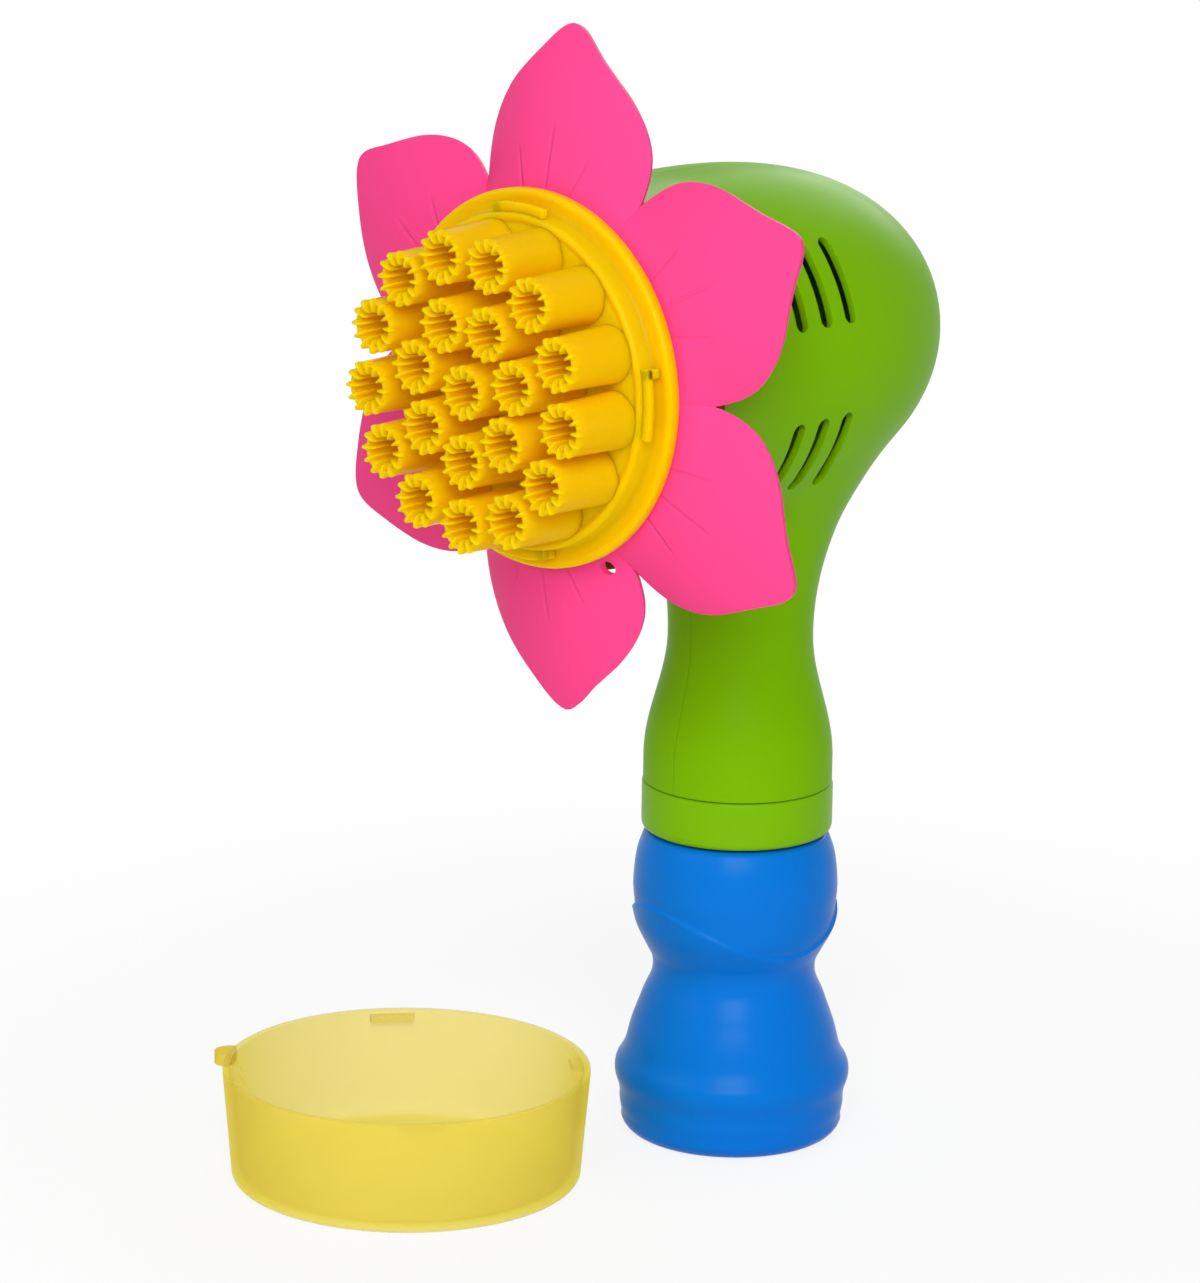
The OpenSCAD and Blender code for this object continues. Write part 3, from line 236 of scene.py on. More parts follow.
def cut_away(piece, bm, name):
    """Cuts a bmesh in millimetres out of a piece."""
    cutter = new_object(bm, name)
    mesh = cutter.data
    boolean = piece.modifiers.new("cut", "BOOLEAN")
    boolean.operation = "DIFFERENCE"
    boolean.solver = "EXACT"
    boolean.object = cutter
    bpy.context.view_layer.update()
    apply_modifiers(piece)
    bpy.data.objects.remove(cutter)
    bpy.data.meshes.remove(mesh)


def ease(a, b, t):
    """Soft passage from a to b, as t goes from 0 to 1."""
    return a + (b - a) * (1 - math.cos(math.pi * t)) / 2


def smooth_step(low, high, value):
    """Nothing below low, one above high, soft between them."""
    t = min(max((value - low) / (high - low), 0.0), 1.0)
    return t * t * (3 - 2 * t)


def curve_through(points, value):
    """Smooth value between points of (place, size), by a cubic with no overshoot at the ends."""
    if value <= points[0][0]:
        return points[0][1]
    if value >= points[-1][0]:
        return points[-1][1]
    k = 0
    while points[k + 1][0] < value:
        k += 1
    (x0, y0), (x1, y1) = points[k], points[k + 1]
    before = points[max(k - 1, 0)]
    after = points[min(k + 2, len(points) - 1)]
    m0 = (y1 - before[1]) / (x1 - before[0])
    m1 = (after[1] - y0) / (after[0] - x0)
    h = x1 - x0
    t = (value - x0) / h
    return ((2 * t ** 3 - 3 * t ** 2 + 1) * y0 + (t ** 3 - 2 * t ** 2 + t) * h * m0
            + (-2 * t ** 3 + 3 * t ** 2) * y1 + (t ** 3 - t ** 2) * h * m1)


# Finishes


DRIFT_SCALE = 28.0
PATCH_SCALE = 120.0
CLOUD_SCALE = 40.0
GRAIN_DEPTH = 0.0002
COAT_ROUGH = 0.12
# A weak painted glow, a light of the surface's own, lightens the shaded bores and gaps; a soft spread below
# the surface stands for light that thin walls pass on.
PAINTED_GLOW_COLOR = (1.0, 0.62, 0.0, 1)
PAINTED_GLOW_STRENGTH = 0.035
GLOW_RADIUS = (1.0, 0.8, 0.1)
GLOW_SCALE = 0.006
# The grooves at a petal's root lie on the petal's own map: U across, V along, 100 mm to one.
MAP_SIZE = 100.0
MAP_MIDDLE = 0.5
VEIN_STRENGTH = 0.55
VEIN_DEPTH = 0.0005
VEIN_EDGE = (0.001, 0.0075)
MIDDLE_VEIN_END = (0.54, 0.60)
SIDE_VEIN_END = (0.49, 0.53)
SIDE_VEIN_START = 0.445
SIDE_VEIN_SPLAY = 0.42
SIDE_VEIN_APART = 0.080
# Least and most share of light that goes straight through the dish, and the tint of its walls.
DISH_CLEAR = (0.57, 0.63)
DISH_TINT = (0.99, 0.957, 0.05, 1)


def node_tree(name):
    """A new material with one surface shader."""
    material = bpy.data.materials.new(name)
    material.use_nodes = True
    tree = material.node_tree
    tree.nodes.clear()
    output = tree.nodes.new("ShaderNodeOutputMaterial")
    shader = tree.nodes.new("ShaderNodeBsdfPrincipled")
    tree.links.new(shader.outputs["BSDF"], output.inputs["Surface"])
    return material, tree, shader


def noise(tree, coordinates, scale, detail):
    """A cloudy pattern."""
    texture = tree.nodes.new("ShaderNodeTexNoise")
    texture.inputs["Scale"].default_value = scale
    texture.inputs["Detail"].default_value = detail
    tree.links.new(coordinates, texture.inputs["Vector"])
    return texture.outputs["Fac"]


def ramp(tree, value, low, high):
    """A value from 0 to 1 brought between low and high."""
    node = tree.nodes.new("ShaderNodeMapRange")
    node.inputs["To Min"].default_value = low
    node.inputs["To Max"].default_value = high
    tree.links.new(value, node.inputs["Value"])
    return node.outputs["Result"]


def fade(tree, value, low, high):
    """One below low, nothing above high, soft between them."""
    node = tree.nodes.new("ShaderNodeMapRange")
    node.interpolation_type = "SMOOTHSTEP"
    node.inputs["From Min"].default_value = low
    node.inputs["From Max"].default_value = high
    node.inputs["To Min"].default_value = 1.0
    node.inputs["To Max"].default_value = 0.0
    tree.links.new(value, node.inputs["Value"])
    return node.outputs["Result"]


def maths(tree, operation, *values):
    """One step of reckoning on numbers and on other nodes' values."""
    node = tree.nodes.new("ShaderNodeMath")
    node.operation = operation
    for socket, value in zip(node.inputs, values):
        if isinstance(value, (int, float)):
            socket.default_value = value
        else:
            tree.links.new(value, socket)
    return node.outputs["Value"]


def shade(color, factor):
    """A colour made lighter or darker."""
    return tuple(min(max(channel * factor, 0.0), 1.0) for channel in color) + (1.0,)


def moulded(name, color, rough, spread=0.06, mottle=0.05, grain=1400.0, bump=0.04, coat=0.0, metallic=0.0,
            gloss=1.10, glow=0.0, relief=None):
    """Moulded or metal surface: a slow drift of tone, a fine grain and an uneven gloss."""
    material, tree, shader = node_tree(name)
    coordinates = tree.nodes.new("ShaderNodeTexCoord").outputs["Object"]
    drift = noise(tree, coordinates, DRIFT_SCALE, 2.0)
    mix = tree.nodes.new("ShaderNodeMix")
    mix.data_type = "RGBA"
    mix.inputs["A"].default_value = shade(color, 1.0 - mottle)
    mix.inputs["B"].default_value = shade(color, 1.0 + mottle)
    tree.links.new(drift, mix.inputs["Factor"])
    tree.links.new(mix.outputs["Result"], shader.inputs["Base Color"])
    patches = noise(tree, coordinates, PATCH_SCALE, 4.0)
    tree.links.new(ramp(tree, patches, rough - spread, rough + spread), shader.inputs["Roughness"])
    fine = noise(tree, coordinates, grain, 2.0)
    lump = tree.nodes.new("ShaderNodeBump")
    lump.inputs["Strength"].default_value = bump
    lump.inputs["Distance"].default_value = GRAIN_DEPTH
    tree.links.new(fine, lump.inputs["Height"])
    if relief:
        carved = tree.nodes.new("ShaderNodeBump")
        carved.inputs["Strength"].default_value = VEIN_STRENGTH
        carved.inputs["Distance"].default_value = VEIN_DEPTH
        tree.links.new(relief(tree), carved.inputs["Height"])
        tree.links.new(carved.outputs["Normal"], lump.inputs["Normal"])
    tree.links.new(lump.outputs["Normal"], shader.inputs["Normal"])
    shader.inputs["Metallic"].default_value = metallic
    shader.inputs["IOR"].default_value = gloss
    shader.inputs["Subsurface Weight"].default_value = glow
    shader.inputs["Subsurface Radius"].default_value = GLOW_RADIUS
    shader.inputs["Subsurface Scale"].default_value = GLOW_SCALE
    # Painted glow: the surface gives off a weak light of its own, in proportion to glow, that lightens its
    # shaded places.
    shader.inputs["Emission Color"].default_value = PAINTED_GLOW_COLOR
    shader.inputs["Emission Strength"].default_value = PAINTED_GLOW_STRENGTH * glow
    shader.inputs["Coat Weight"].default_value = coat
    shader.inputs["Coat Roughness"].default_value = COAT_ROUGH
    return material


def petal_veins(tree):
    """Height of the three grooves at a petal's root."""
    uv = tree.nodes.new("ShaderNodeUVMap")
    uv.uv_map = "petal"
    split = tree.nodes.new("ShaderNodeSeparateXYZ")
    tree.links.new(uv.outputs["UV"], split.inputs["Vector"])
    across = maths(tree, "ABSOLUTE", maths(tree, "SUBTRACT", split.outputs["X"], MAP_MIDDLE))
    along = split.outputs["Y"]
    beyond = maths(tree, "SUBTRACT", along, SIDE_VEIN_START)
    splay = maths(tree, "MULTIPLY_ADD", beyond, SIDE_VEIN_SPLAY, SIDE_VEIN_APART)
    side = maths(tree, "ABSOLUTE", maths(tree, "SUBTRACT", across, splay))
    middle_vein = maths(tree, "MULTIPLY", fade(tree, across, *VEIN_EDGE), fade(tree, along, *MIDDLE_VEIN_END))
    side_vein = maths(tree, "MULTIPLY", fade(tree, side, *VEIN_EDGE), fade(tree, along, *SIDE_VEIN_END))
    return maths(tree, "SUBTRACT", 1.0, maths(tree, "MAXIMUM", middle_vein, side_vein))


def clear_yellow(name, color, density):
    """Milky plastic that lets tinted light through."""
    material = moulded(name, color, 0.30, spread=0.05, mottle=0.03, grain=600.0, bump=0.02, gloss=1.15)
    tree = material.node_tree
    shader = next(node for node in tree.nodes if node.type == "BSDF_PRINCIPLED")
    output = next(node for node in tree.nodes if node.type == "OUTPUT_MATERIAL")
    clear = tree.nodes.new("ShaderNodeBsdfTransparent")
    mix = tree.nodes.new("ShaderNodeMixShader")
    cloud = noise(tree, tree.nodes.new("ShaderNodeTexCoord").outputs["Object"], CLOUD_SCALE, 2.0)
    tree.links.new(ramp(tree, cloud, *DISH_CLEAR), mix.inputs["Fac"])
    tree.links.new(shader.outputs["BSDF"], mix.inputs[1])
    tree.links.new(clear.outputs["BSDF"], mix.inputs[2])
    tree.links.new(mix.outputs["Shader"], output.inputs["Surface"])
    tint = tree.nodes.new("ShaderNodeVolumeAbsorption")
    tint.inputs["Color"].default_value = DISH_TINT
    tint.inputs["Density"].default_value = density
    tree.links.new(tint.outputs["Volume"], output.inputs["Volume"])
    return material


# Housing


# Head: reach of its back (behind the neck), of its widest ring and of its front, radius, fullness and flare.
HEAD_BACK = 51.0
HEAD_MID = 24.0
HEAD_FRONT = 58.0
HEAD_R = 42.3
HEAD_FULL = 2.37
HEAD_FLARE = 4.2
HEAD_FLARE_POWER = 1.9
# Nearer to the middle of the rounded back than this share, the depth is the whole radius.
HEAD_CENTRE = 0.05
# Neck: a straight foot, a narrowest place, and above it a sweep that fades and closes inside the head.
FOOT_Z = 88.7
FOOT_R = 22.75
FOOT_TOP = 94.5
NECK_R = 17.4
NECK_Z = 125.0
NECK_SWEEP = 70.0
NECK_FADE = (152.0, 172.0)
NECK_CLOSE = (170.0, 184.0)
NECK_CLOSE_SLOPE = 0.9
FLARE_STEP = 0.5
# Width of the soft blend where the head and the neck meet.
BLEND = 9.0
# Search for the skin along a ray: first in steps, then by halving.
SKIN_STEP = 4.0
SKIN_LONGEST = 90.0
SKIN_HALVINGS = 26
# The half shell's grid: share of it on the neck, and the place that the head's rings fan out from.
SHELL_GRID = (132, 72)
NECK_SHARE = 0.36
PIVOT = Vector((0.0, -HEAD_FRONT, 138.0))
# Steps from that place to one that lies well inside the head.
INSIDE_START = 8.0
INSIDE_STEP = 2.0
INSIDE_DEPTH = 1.0
# Half the gap between the two halves.
SEAM_HALF = 0.06
# Below this height there is only the neck.
PLAIN_NECK_TOP = 140.0
# Air slots: height angles of their two rows, reach of each slot, and the radii between which they are cut.
SLOT_ROWS = (28.85, -29.65)
SLOT_REACHES = (8.85, 17.35, 25.85, 34.35)
SLOT_LENGTH = 21.2
SLOT_WIDTH = 4.0
SLOT_CUT = (34.0, 52.0)
# Corners of the trigger's and the door's openings, and the screws' reaches and heights in the left half.
TRIGGER_WINDOW = ((-5.9, -40.0, 146.5), (5.9, -8.0, 153.9))
DOOR_WINDOW = ((-8.0, 12.0, 96.4), (8.0, 40.0, 152.1))
SCREW_PLACES = ((-33.7, 221.2), (-33.7, 173.2), (40.0, 235.2), (40.0, 159.2))
SCREW_WELL_R = 2.45
SCREW_WELL_CUT = (-6.0, -60.0)


def neck_flare():
    """Radii of the neck, step by step above its narrowest place, levelling off under the head."""
    radii = [NECK_R]
    z = NECK_Z
    while z < HEAD_Z:
        slope = (z - NECK_Z) / NECK_SWEEP * (1 - smooth_step(*NECK_FADE, z))
        slope -= NECK_CLOSE_SLOPE * smooth_step(*NECK_CLOSE, z)
        radii.append(radii[-1] + slope * FLARE_STEP)
        z += FLARE_STEP
    return radii


FLARE = neck_flare()


def neck_radius(z):
    """Radius of the neck at a height."""
    if z <= FOOT_TOP:
        return FOOT_R
    if z <= NECK_Z:
        return ease(FOOT_R, NECK_R, (z - FOOT_TOP) / (NECK_Z - FOOT_TOP))
    place = min((z - NECK_Z) / FLARE_STEP, len(FLARE) - 1.001)
    k = int(place)
    return FLARE[k] + (FLARE[k + 1] - FLARE[k]) * (place - k)


def head_depth(radius, reach):
    """Depth below the head's skin, negative inside: a rounded back that runs out into a flared front."""
    if reach >= HEAD_MID:
        share = (reach - HEAD_MID) / (HEAD_FRONT - HEAD_MID)
        return radius - HEAD_R - HEAD_FLARE * share ** HEAD_FLARE_POWER
    length = HEAD_BACK + HEAD_MID
    along, across = (HEAD_MID - reach) / length, radius / HEAD_R
    size = (along ** HEAD_FULL + across ** HEAD_FULL) ** (1 / HEAD_FULL)
    if size < HEAD_CENTRE:
        return -HEAD_R
    slope = math.hypot(along ** (HEAD_FULL - 1) / length, across ** (HEAD_FULL - 1) / HEAD_R)
    return (size - 1) / (slope * size ** (1 - HEAD_FULL))


def housing_depth(x, y, z):
    """Depth below the housing's skin, negative inside: the head and the neck melted into each other."""
    head = head_depth(math.hypot(x, z - HEAD_Z), -y)
    neck = math.hypot(x, y) - neck_radius(z) + max(z - HEAD_Z, 0.0)
    near = max(BLEND - abs(head - neck), 0.0) / BLEND
    return min(head, neck) - near * near * BLEND / 4


def skin_along(start, direction):
    """The point where a ray from inside leaves the housing."""
    low, high = 0.0, SKIN_STEP
    while housing_depth(*(start + direction * high)) < 0 and high < SKIN_LONGEST:
        low = high
        high += SKIN_STEP
    for _ in range(SKIN_HALVINGS):
        middle = (low + high) / 2
        if housing_depth(*(start + direction * middle)) < 0:
            low = middle
        else:
            high = middle
    return start + direction * low


def half_shell_place(side):
    """Places a grid on one half of the housing: rings up the neck, then a fan of rings over the head."""
    middles = {}

    def ring(u):
        if u <= NECK_SHARE:
            z = FOOT_Z + (PIVOT.z - FOOT_Z) * u / NECK_SHARE
            return Vector((0, 0, z)), Vector((0, 1, 0))
        lift = math.radians(90.0 * (u - NECK_SHARE) / (1 - NECK_SHARE))
        ahead = Vector((0, math.cos(lift), math.sin(lift)))
        key = round(u, 6)
        if key not in middles:
            inside = PIVOT + ahead * INSIDE_START
            while housing_depth(*inside) > -INSIDE_DEPTH:
                inside = inside + ahead * INSIDE_STEP
            near = skin_along(inside, -ahead)
            far = skin_along(inside, ahead)
            middles[key] = (near + far) / 2
        return middles[key], ahead

    def place(u, v):
        centre, ahead = ring(u)
        turn = math.radians(-90.0 + 180.0 * v)
        direction = ahead * math.sin(turn) + Vector((side, 0, 0)) * math.cos(turn)
        point = skin_along(centre, direction)
        if abs(v) < 1e-6 or abs(v - 1) < 1e-6:
            point.x = side * SEAM_HALF
        else:
            point.x = side * max(abs(point.x), SEAM_HALF)
        return point

    return place


def neck_faces_outward(bm):
    """Whether the faces of the plain neck look away from its axis."""
    total = 0.0
    for face in bm.faces:
        middle = face.calc_center_median()
        if middle.z < PLAIN_NECK_TOP:
            total += face.normal.dot(Vector((middle.x, middle.y, 0)))
    return total >= 0


def slot_cutter(side):
    """Blocks for the eight air slots in one half of the housing."""
    bm = bmesh.new()
    for row in SLOT_ROWS:
        turn = math.radians(row)
        out = Vector((side * math.cos(turn), 0, math.sin(turn)))
        along = Vector((-side * math.sin(turn), 0, math.cos(turn)))
        for reach in SLOT_REACHES:
            for vert in round_block(bm, SLOT_LENGTH, SLOT_WIDTH, *SLOT_CUT):
                x, y, z = vert.co
                vert.co = Vector((0, y - reach, HEAD_Z)) + along * x + out * z
    bmesh.ops.recalc_face_normals(bm, faces=bm.faces)
    return bm


def screw_well_cutter():
    """Rods for the wells of the four housing screws."""
    bm = bmesh.new()
    inner, outer = SCREW_WELL_CUT
    for reach, z in SCREW_PLACES:
        rod_cutter(bm, SCREW_WELL_R, (inner, -reach, z), (outer, -reach, z))
    return bm


class WAND_OT_housing(bpy.types.Operator):
    """Models the two halves of the housing with their air slots, trigger window and door opening"""

    bl_idname = "wand.housing"
    bl_label = "Housing"

    def execute(self, context):
        look = context.scene.wand_look
        material = moulded("green_housing", look.green, 0.36, bump=0.05)
        for name, node, side in (("housing_skin_right", "housing_right", 1),
                                 ("housing_skin_left", "housing_left", -1)):
            bm = grid_sheet(*SHELL_GRID, half_shell_place(side))
            bmesh.ops.recalc_face_normals(bm, faces=bm.faces)
            if not neck_faces_outward(bm):
                bmesh.ops.reverse_faces(bm, faces=bm.faces)
            piece = finish_piece(bm, name, material, "wand", [node])
            thicken(piece, look.wall)
            cut_away(piece, slot_cutter(side), "slot_cutter")
            cut_away(piece, box_cutter(*TRIGGER_WINDOW), "trigger_window")
            cut_away(piece, box_cutter(*DOOR_WINDOW), "door_window")
            if side < 0:
                cut_away(piece, screw_well_cutter(), "screw_wells")
            soften(piece, look.soft_edge, 3, bevel_angle=38.0, sharp_angle=50.0)
        return {"FINISHED"}


# Flower


# Half width of a petal at each distance from the head's axis.
PETAL_WIDTH = (
    (32.0, 20.3), (36.0, 22.0), (41.5, 24.05), (46.0, 25.0), (50.0, 25.3), (54.0, 24.8), (58.0, 23.35),
    (62.0, 21.05), (66.0, 17.85), (70.0, 13.55), (74.0, 9.0), (77.0, 5.8), (78.5, 4.05), (79.45, 2.65),
    (80.0, 1.5), (80.3, 0.35))
PETAL_GRID = (64, 44)
PETAL_COUNT = 6
PETAL_ROOT = 40.0
PETAL_ROOT_HALF = 22.0
PETAL_TIP = 80.3
# The grid's rows crowd towards the tip by this power.
PETAL_CROWD = 1.5
# Radius of the dome across a petal, of which a share is left at the root, and of the bend along it.
PETAL_DOME = 52.0
PETAL_ROOT_DOME = 0.25
PETAL_DOME_RISE = (38.0, 50.0)
PETAL_BEND = 232.0
PETAL_HINGE = 44.0
PETAL_LEAN = math.radians(9.2)
PETAL_REACH = 68.9
PETAL_T = 1.8
PETAL_EDGE = 0.0005
# The left edges of the top and the bottom petal hang back by this much for each square of the way across.
PETAL_DROOP = 0.0012
PETAL_DROOP_SIDE = (1, 0, 0, -1, 0, 0)
# Name of each petal piece, its petals counted from the top one, and the node that it stands for.
PETAL_PIECES = (("flower_petals", (0, 1, 2, 4, 5), ["flower"]), ("flower_low_petal", (3,), []))
# Radius and reach of the hub's outline.
HUB_OUTLINE = (
    (38.6, 69.9), (41.8, 69.9), (42.4, 67.0), (44.4, 64.6), (44.4, 58.4), (42.6, 58.4), (42.6, 64.9),
    (40.6, 64.9), (40.6, 54.9), (43.4, 54.9), (43.4, 52.9), (38.6, 52.9))
TIE_TURN = math.radians(-65.9)
TIE_RING = 45.9
TIE_R = 1.75
TIE_CUT = (-90.0, -40.0)


def petal_point(u, v):
    """A point of a petal's front: across it, along it and its reach before the neck."""
    root = math.sqrt(PETAL_ROOT ** 2 - ((2 * v - 1) * PETAL_ROOT_HALF) ** 2)
    along = root + (PETAL_TIP - root) * (1 - (1 - u) ** PETAL_CROWD)
    across = (2 * v - 1) * curve_through(PETAL_WIDTH, along)
    fall = PETAL_DOME - math.sqrt(PETAL_DOME ** 2 - across ** 2)
    rise = smooth_step(*PETAL_DOME_RISE, math.hypot(across, along))
    swing = PETAL_BEND - fall * (PETAL_ROOT_DOME + (1 - PETAL_ROOT_DOME) * rise)
    lean = along - PETAL_HINGE + PETAL_BEND * math.sin(PETAL_LEAN)
    reach = PETAL_REACH - PETAL_BEND * math.cos(PETAL_LEAN) + math.sqrt(swing ** 2 - lean ** 2)
    return across, along, reach


def petal_mesh():
    """One petal's front as a mesh, with the map of its grooves."""
    bm = grid_sheet(*PETAL_GRID, petal_point)
    layer = bm.loops.layers.uv.new("petal")
    for face in bm.faces:
        for loop in face.loops:
            across, along, _reach = loop.vert.co
            loop[layer].uv = (MAP_MIDDLE + across / MAP_SIZE, along / MAP_SIZE)
    mesh = bpy.data.meshes.new("petal_sheet")
    bm.to_mesh(mesh)
    bm.free()
    return mesh


def add_petal(bm, mesh, count):
    """Adds a petal at its turn about the head's axis, counted from the top one."""
    before = set(bm.verts)
    bm.from_mesh(mesh)
    turn = math.radians(90.0 + 360.0 / PETAL_COUNT * count)
    for vert in [vert for vert in bm.verts if vert not in before]:
        across, along, reach = vert.co
        reach -= PETAL_DROOP * max(0.0, across * PETAL_DROOP_SIDE[count]) ** 2
        vert.co = Vector((along * math.cos(turn) - across * math.sin(turn), -reach,
                          HEAD_Z + along * math.sin(turn) + across * math.cos(turn)))


def tie_hole_cutter():
    """A rod through the bottom petal and the hub, where the dish's tie goes."""
    x, z = TIE_RING * math.cos(TIE_TURN), HEAD_Z + TIE_RING * math.sin(TIE_TURN)
    front, back = TIE_CUT
    bm = bmesh.new()
    rod_cutter(bm, TIE_R, (x, front, z), (x, back, z))
    return bm


class WAND_OT_flower(bpy.types.Operator):
    """Models the flower: six domed petals and the hub that carries them"""

    bl_idname = "wand.flower"
    bl_label = "Flower"

    def execute(self, context):
        look = context.scene.wand_look
        material = moulded("pink_flower", look.pink, 0.42, mottle=0.03, bump=0.04, relief=petal_veins)
        mesh = petal_mesh()
        for name, counts, nodes in PETAL_PIECES:
            bm = bmesh.new()
            bm.loops.layers.uv.new("petal")
            for count in counts:
                add_petal(bm, mesh, count)
            bm.normal_update()
            if sum(face.normal.y for face in bm.faces) > 0:
                bmesh.ops.reverse_faces(bm, faces=bm.faces)
            piece = finish_piece(bm, name, material, "wand", nodes)
            thicken(piece, PETAL_T * MM)
            if name == "flower_low_petal":
                cut_away(piece, tie_hole_cutter(), "tie_hole")
            soften(piece, PETAL_EDGE, 2, bevel_angle=50.0, sharp_angle=60.0)
        bpy.data.meshes.remove(mesh)

        hub = bmesh.new()
        hub.loops.layers.uv.new("petal")
        spin_outline(hub, HUB_OUTLINE, axis="Y", closed=True)
        clean(hub)
        rear = finish_piece(hub, "flower_hub", material, "wand", [])
        cut_away(rear, tie_hole_cutter(), "hub_hole")
        keep_edges_sharp(rear, 40.0)
        return {"FINISHED"}


# Bubble nozzle


# Radius and reach of the drum's outline, with its flange and its face.
DRUM_OUTLINE = (
    (37.0, 66.0), (38.3, 66.0), (38.3, 70.0), (43.2, 70.0), (43.65, 70.15), (43.8, 70.6), (43.8, 72.2),
    (43.6, 72.75), (43.1, 73.0), (42.2, 73.05), (41.6, 72.85), (40.2, 72.85), (39.5, 73.1), (39.1, 73.8),
    (39.0, 76.4), (38.9, 77.1), (38.5, 77.6), (38.0, 77.75), (37.4, 77.6), (37.1, 77.25), (36.6, 77.1),
    (36.1, 77.25), (35.7, 77.4), (0.0, 77.4), (0.0, 75.7), (37.0, 75.7))
# How many tubes stand on each ring, and its radius.
TUBE_RINGS = ((13, 30.9), (7, 16.0))
BORE_R = 4.8
BORE_CUT = (-70.0, -80.0)
# Each ring of a tube: radius and reach on a rib, the same between ribs, half width of the rib in pitches.
TUBE_STEPS = (
    (6.75, 76.6, 6.75, 76.6, 0.20), (6.50, 82.0, 6.50, 82.0, 0.20), (6.30, 89.0, 6.30, 89.0, 0.20),
    (6.18, 92.6, 6.18, 92.6, 0.20), (6.22, 93.6, 6.14, 93.4, 0.20), (6.40, 94.3, 6.02, 94.0, 0.19),
    (6.46, 94.9, 5.82, 94.4, 0.18), (6.34, 95.4, 5.56, 94.7, 0.17), (6.05, 95.7, 5.30, 94.82, 0.165),
    (5.60, 95.8, 5.08, 94.8, 0.16), (4.90, 95.75, 4.88, 94.65, 0.16), (4.10, 95.55, 4.72, 94.35, 0.165),
    (3.50, 95.2, 4.62, 93.9, 0.175), (3.20, 94.7, 4.56, 93.2, 0.185), (3.12, 93.9, 4.54, 92.2, 0.19),
    (3.15, 90.0, 4.56, 88.0, 0.20), (3.30, 80.0, 4.65, 80.0, 0.20), (4.80, 75.8, 4.80, 75.8, 0.20))
# Places of a tube's columns about a rib, in pitches, and how far the rib's sides run in and out.
RIB_SAMPLES = (-0.42, -0.34, -0.27, -0.21, -0.15, -0.08, 0.0, 0.08, 0.15, 0.21, 0.27, 0.34, 0.42, 0.5)
RIB_SIDE_IN = 0.11
RIB_SIDE_OUT = 0.09
# Locking hooks: a roof along the drum with a stop near its end.
HOOK_COUNT = 4
HOOK_START = -10.5
HOOK_ROOF = ((38.8, 75.4), (41.2, 75.4), (41.2, 77.0), (38.8, 77.0))
HOOK_ROOF_SPAN = 23.5
HOOK_STOP = ((38.8, 72.8), (41.2, 72.8), (41.2, 76.6), (38.8, 76.6))
HOOK_STOP_START = 20.0
HOOK_STOP_SPAN = 3.0
HOOK_EDGE = 0.0004


def tube_places():
    """Places of the tubes about the head's axis, across and up."""
    places = [(0.0, 0.0)]
    for count, ring in TUBE_RINGS:
        for k in range(count):
            turn = math.radians(-90.0 + 360.0 * k / count)
            places.append((ring * math.cos(turn), ring * math.sin(turn)))
    return places


def add_tube(bm, x, rise, ribs):
    """One ribbed tube: rings from its root over the toothed tip and down its bore."""
    columns = [((k + place) / ribs * 2 * math.pi, abs(place)) for k in range(ribs) for place in RIB_SAMPLES]
    ring = bmesh.ops.create_circle(bm, cap_ends=False, radius=1.0, segments=len(columns))["verts"]
    ring.sort(key=lambda vert: math.atan2(vert.co.y, vert.co.x) % (2 * math.pi))
    for level, (rib_r, rib_h, gap_r, gap_h, half) in enumerate(TUBE_STEPS):
        if level:
            edges = [bm.edges.get((a, b)) for a, b in zip(ring, ring[1:] + ring[:1])]
            grown = bmesh.ops.extrude_edge_only(bm, edges=edges)["geom"]
            fresh = {item for item in grown if isinstance(item, bmesh.types.BMVert)}
            ring = [next(e.other_vert(v) for e in v.link_edges if e.other_vert(v) in fresh) for v in ring]
        for (turn, place), vert in zip(columns, ring):
            weight = 1 - smooth_step(half - RIB_SIDE_IN, half + RIB_SIDE_OUT, place)
            radius = gap_r + (rib_r - gap_r) * weight
            height = gap_h + (rib_h - gap_h) * weight
            vert.co = Vector((x + radius * math.cos(turn), -height, HEAD_Z + rise + radius * math.sin(turn)))


def bore_cutter():
    """Rods for the tubes' bores through the drum's face."""
    bm = bmesh.new()
    back, front = BORE_CUT
    for x, rise in tube_places():
        rod_cutter(bm, BORE_R, (x, back, HEAD_Z + rise), (x, front, HEAD_Z + rise))
    return bm


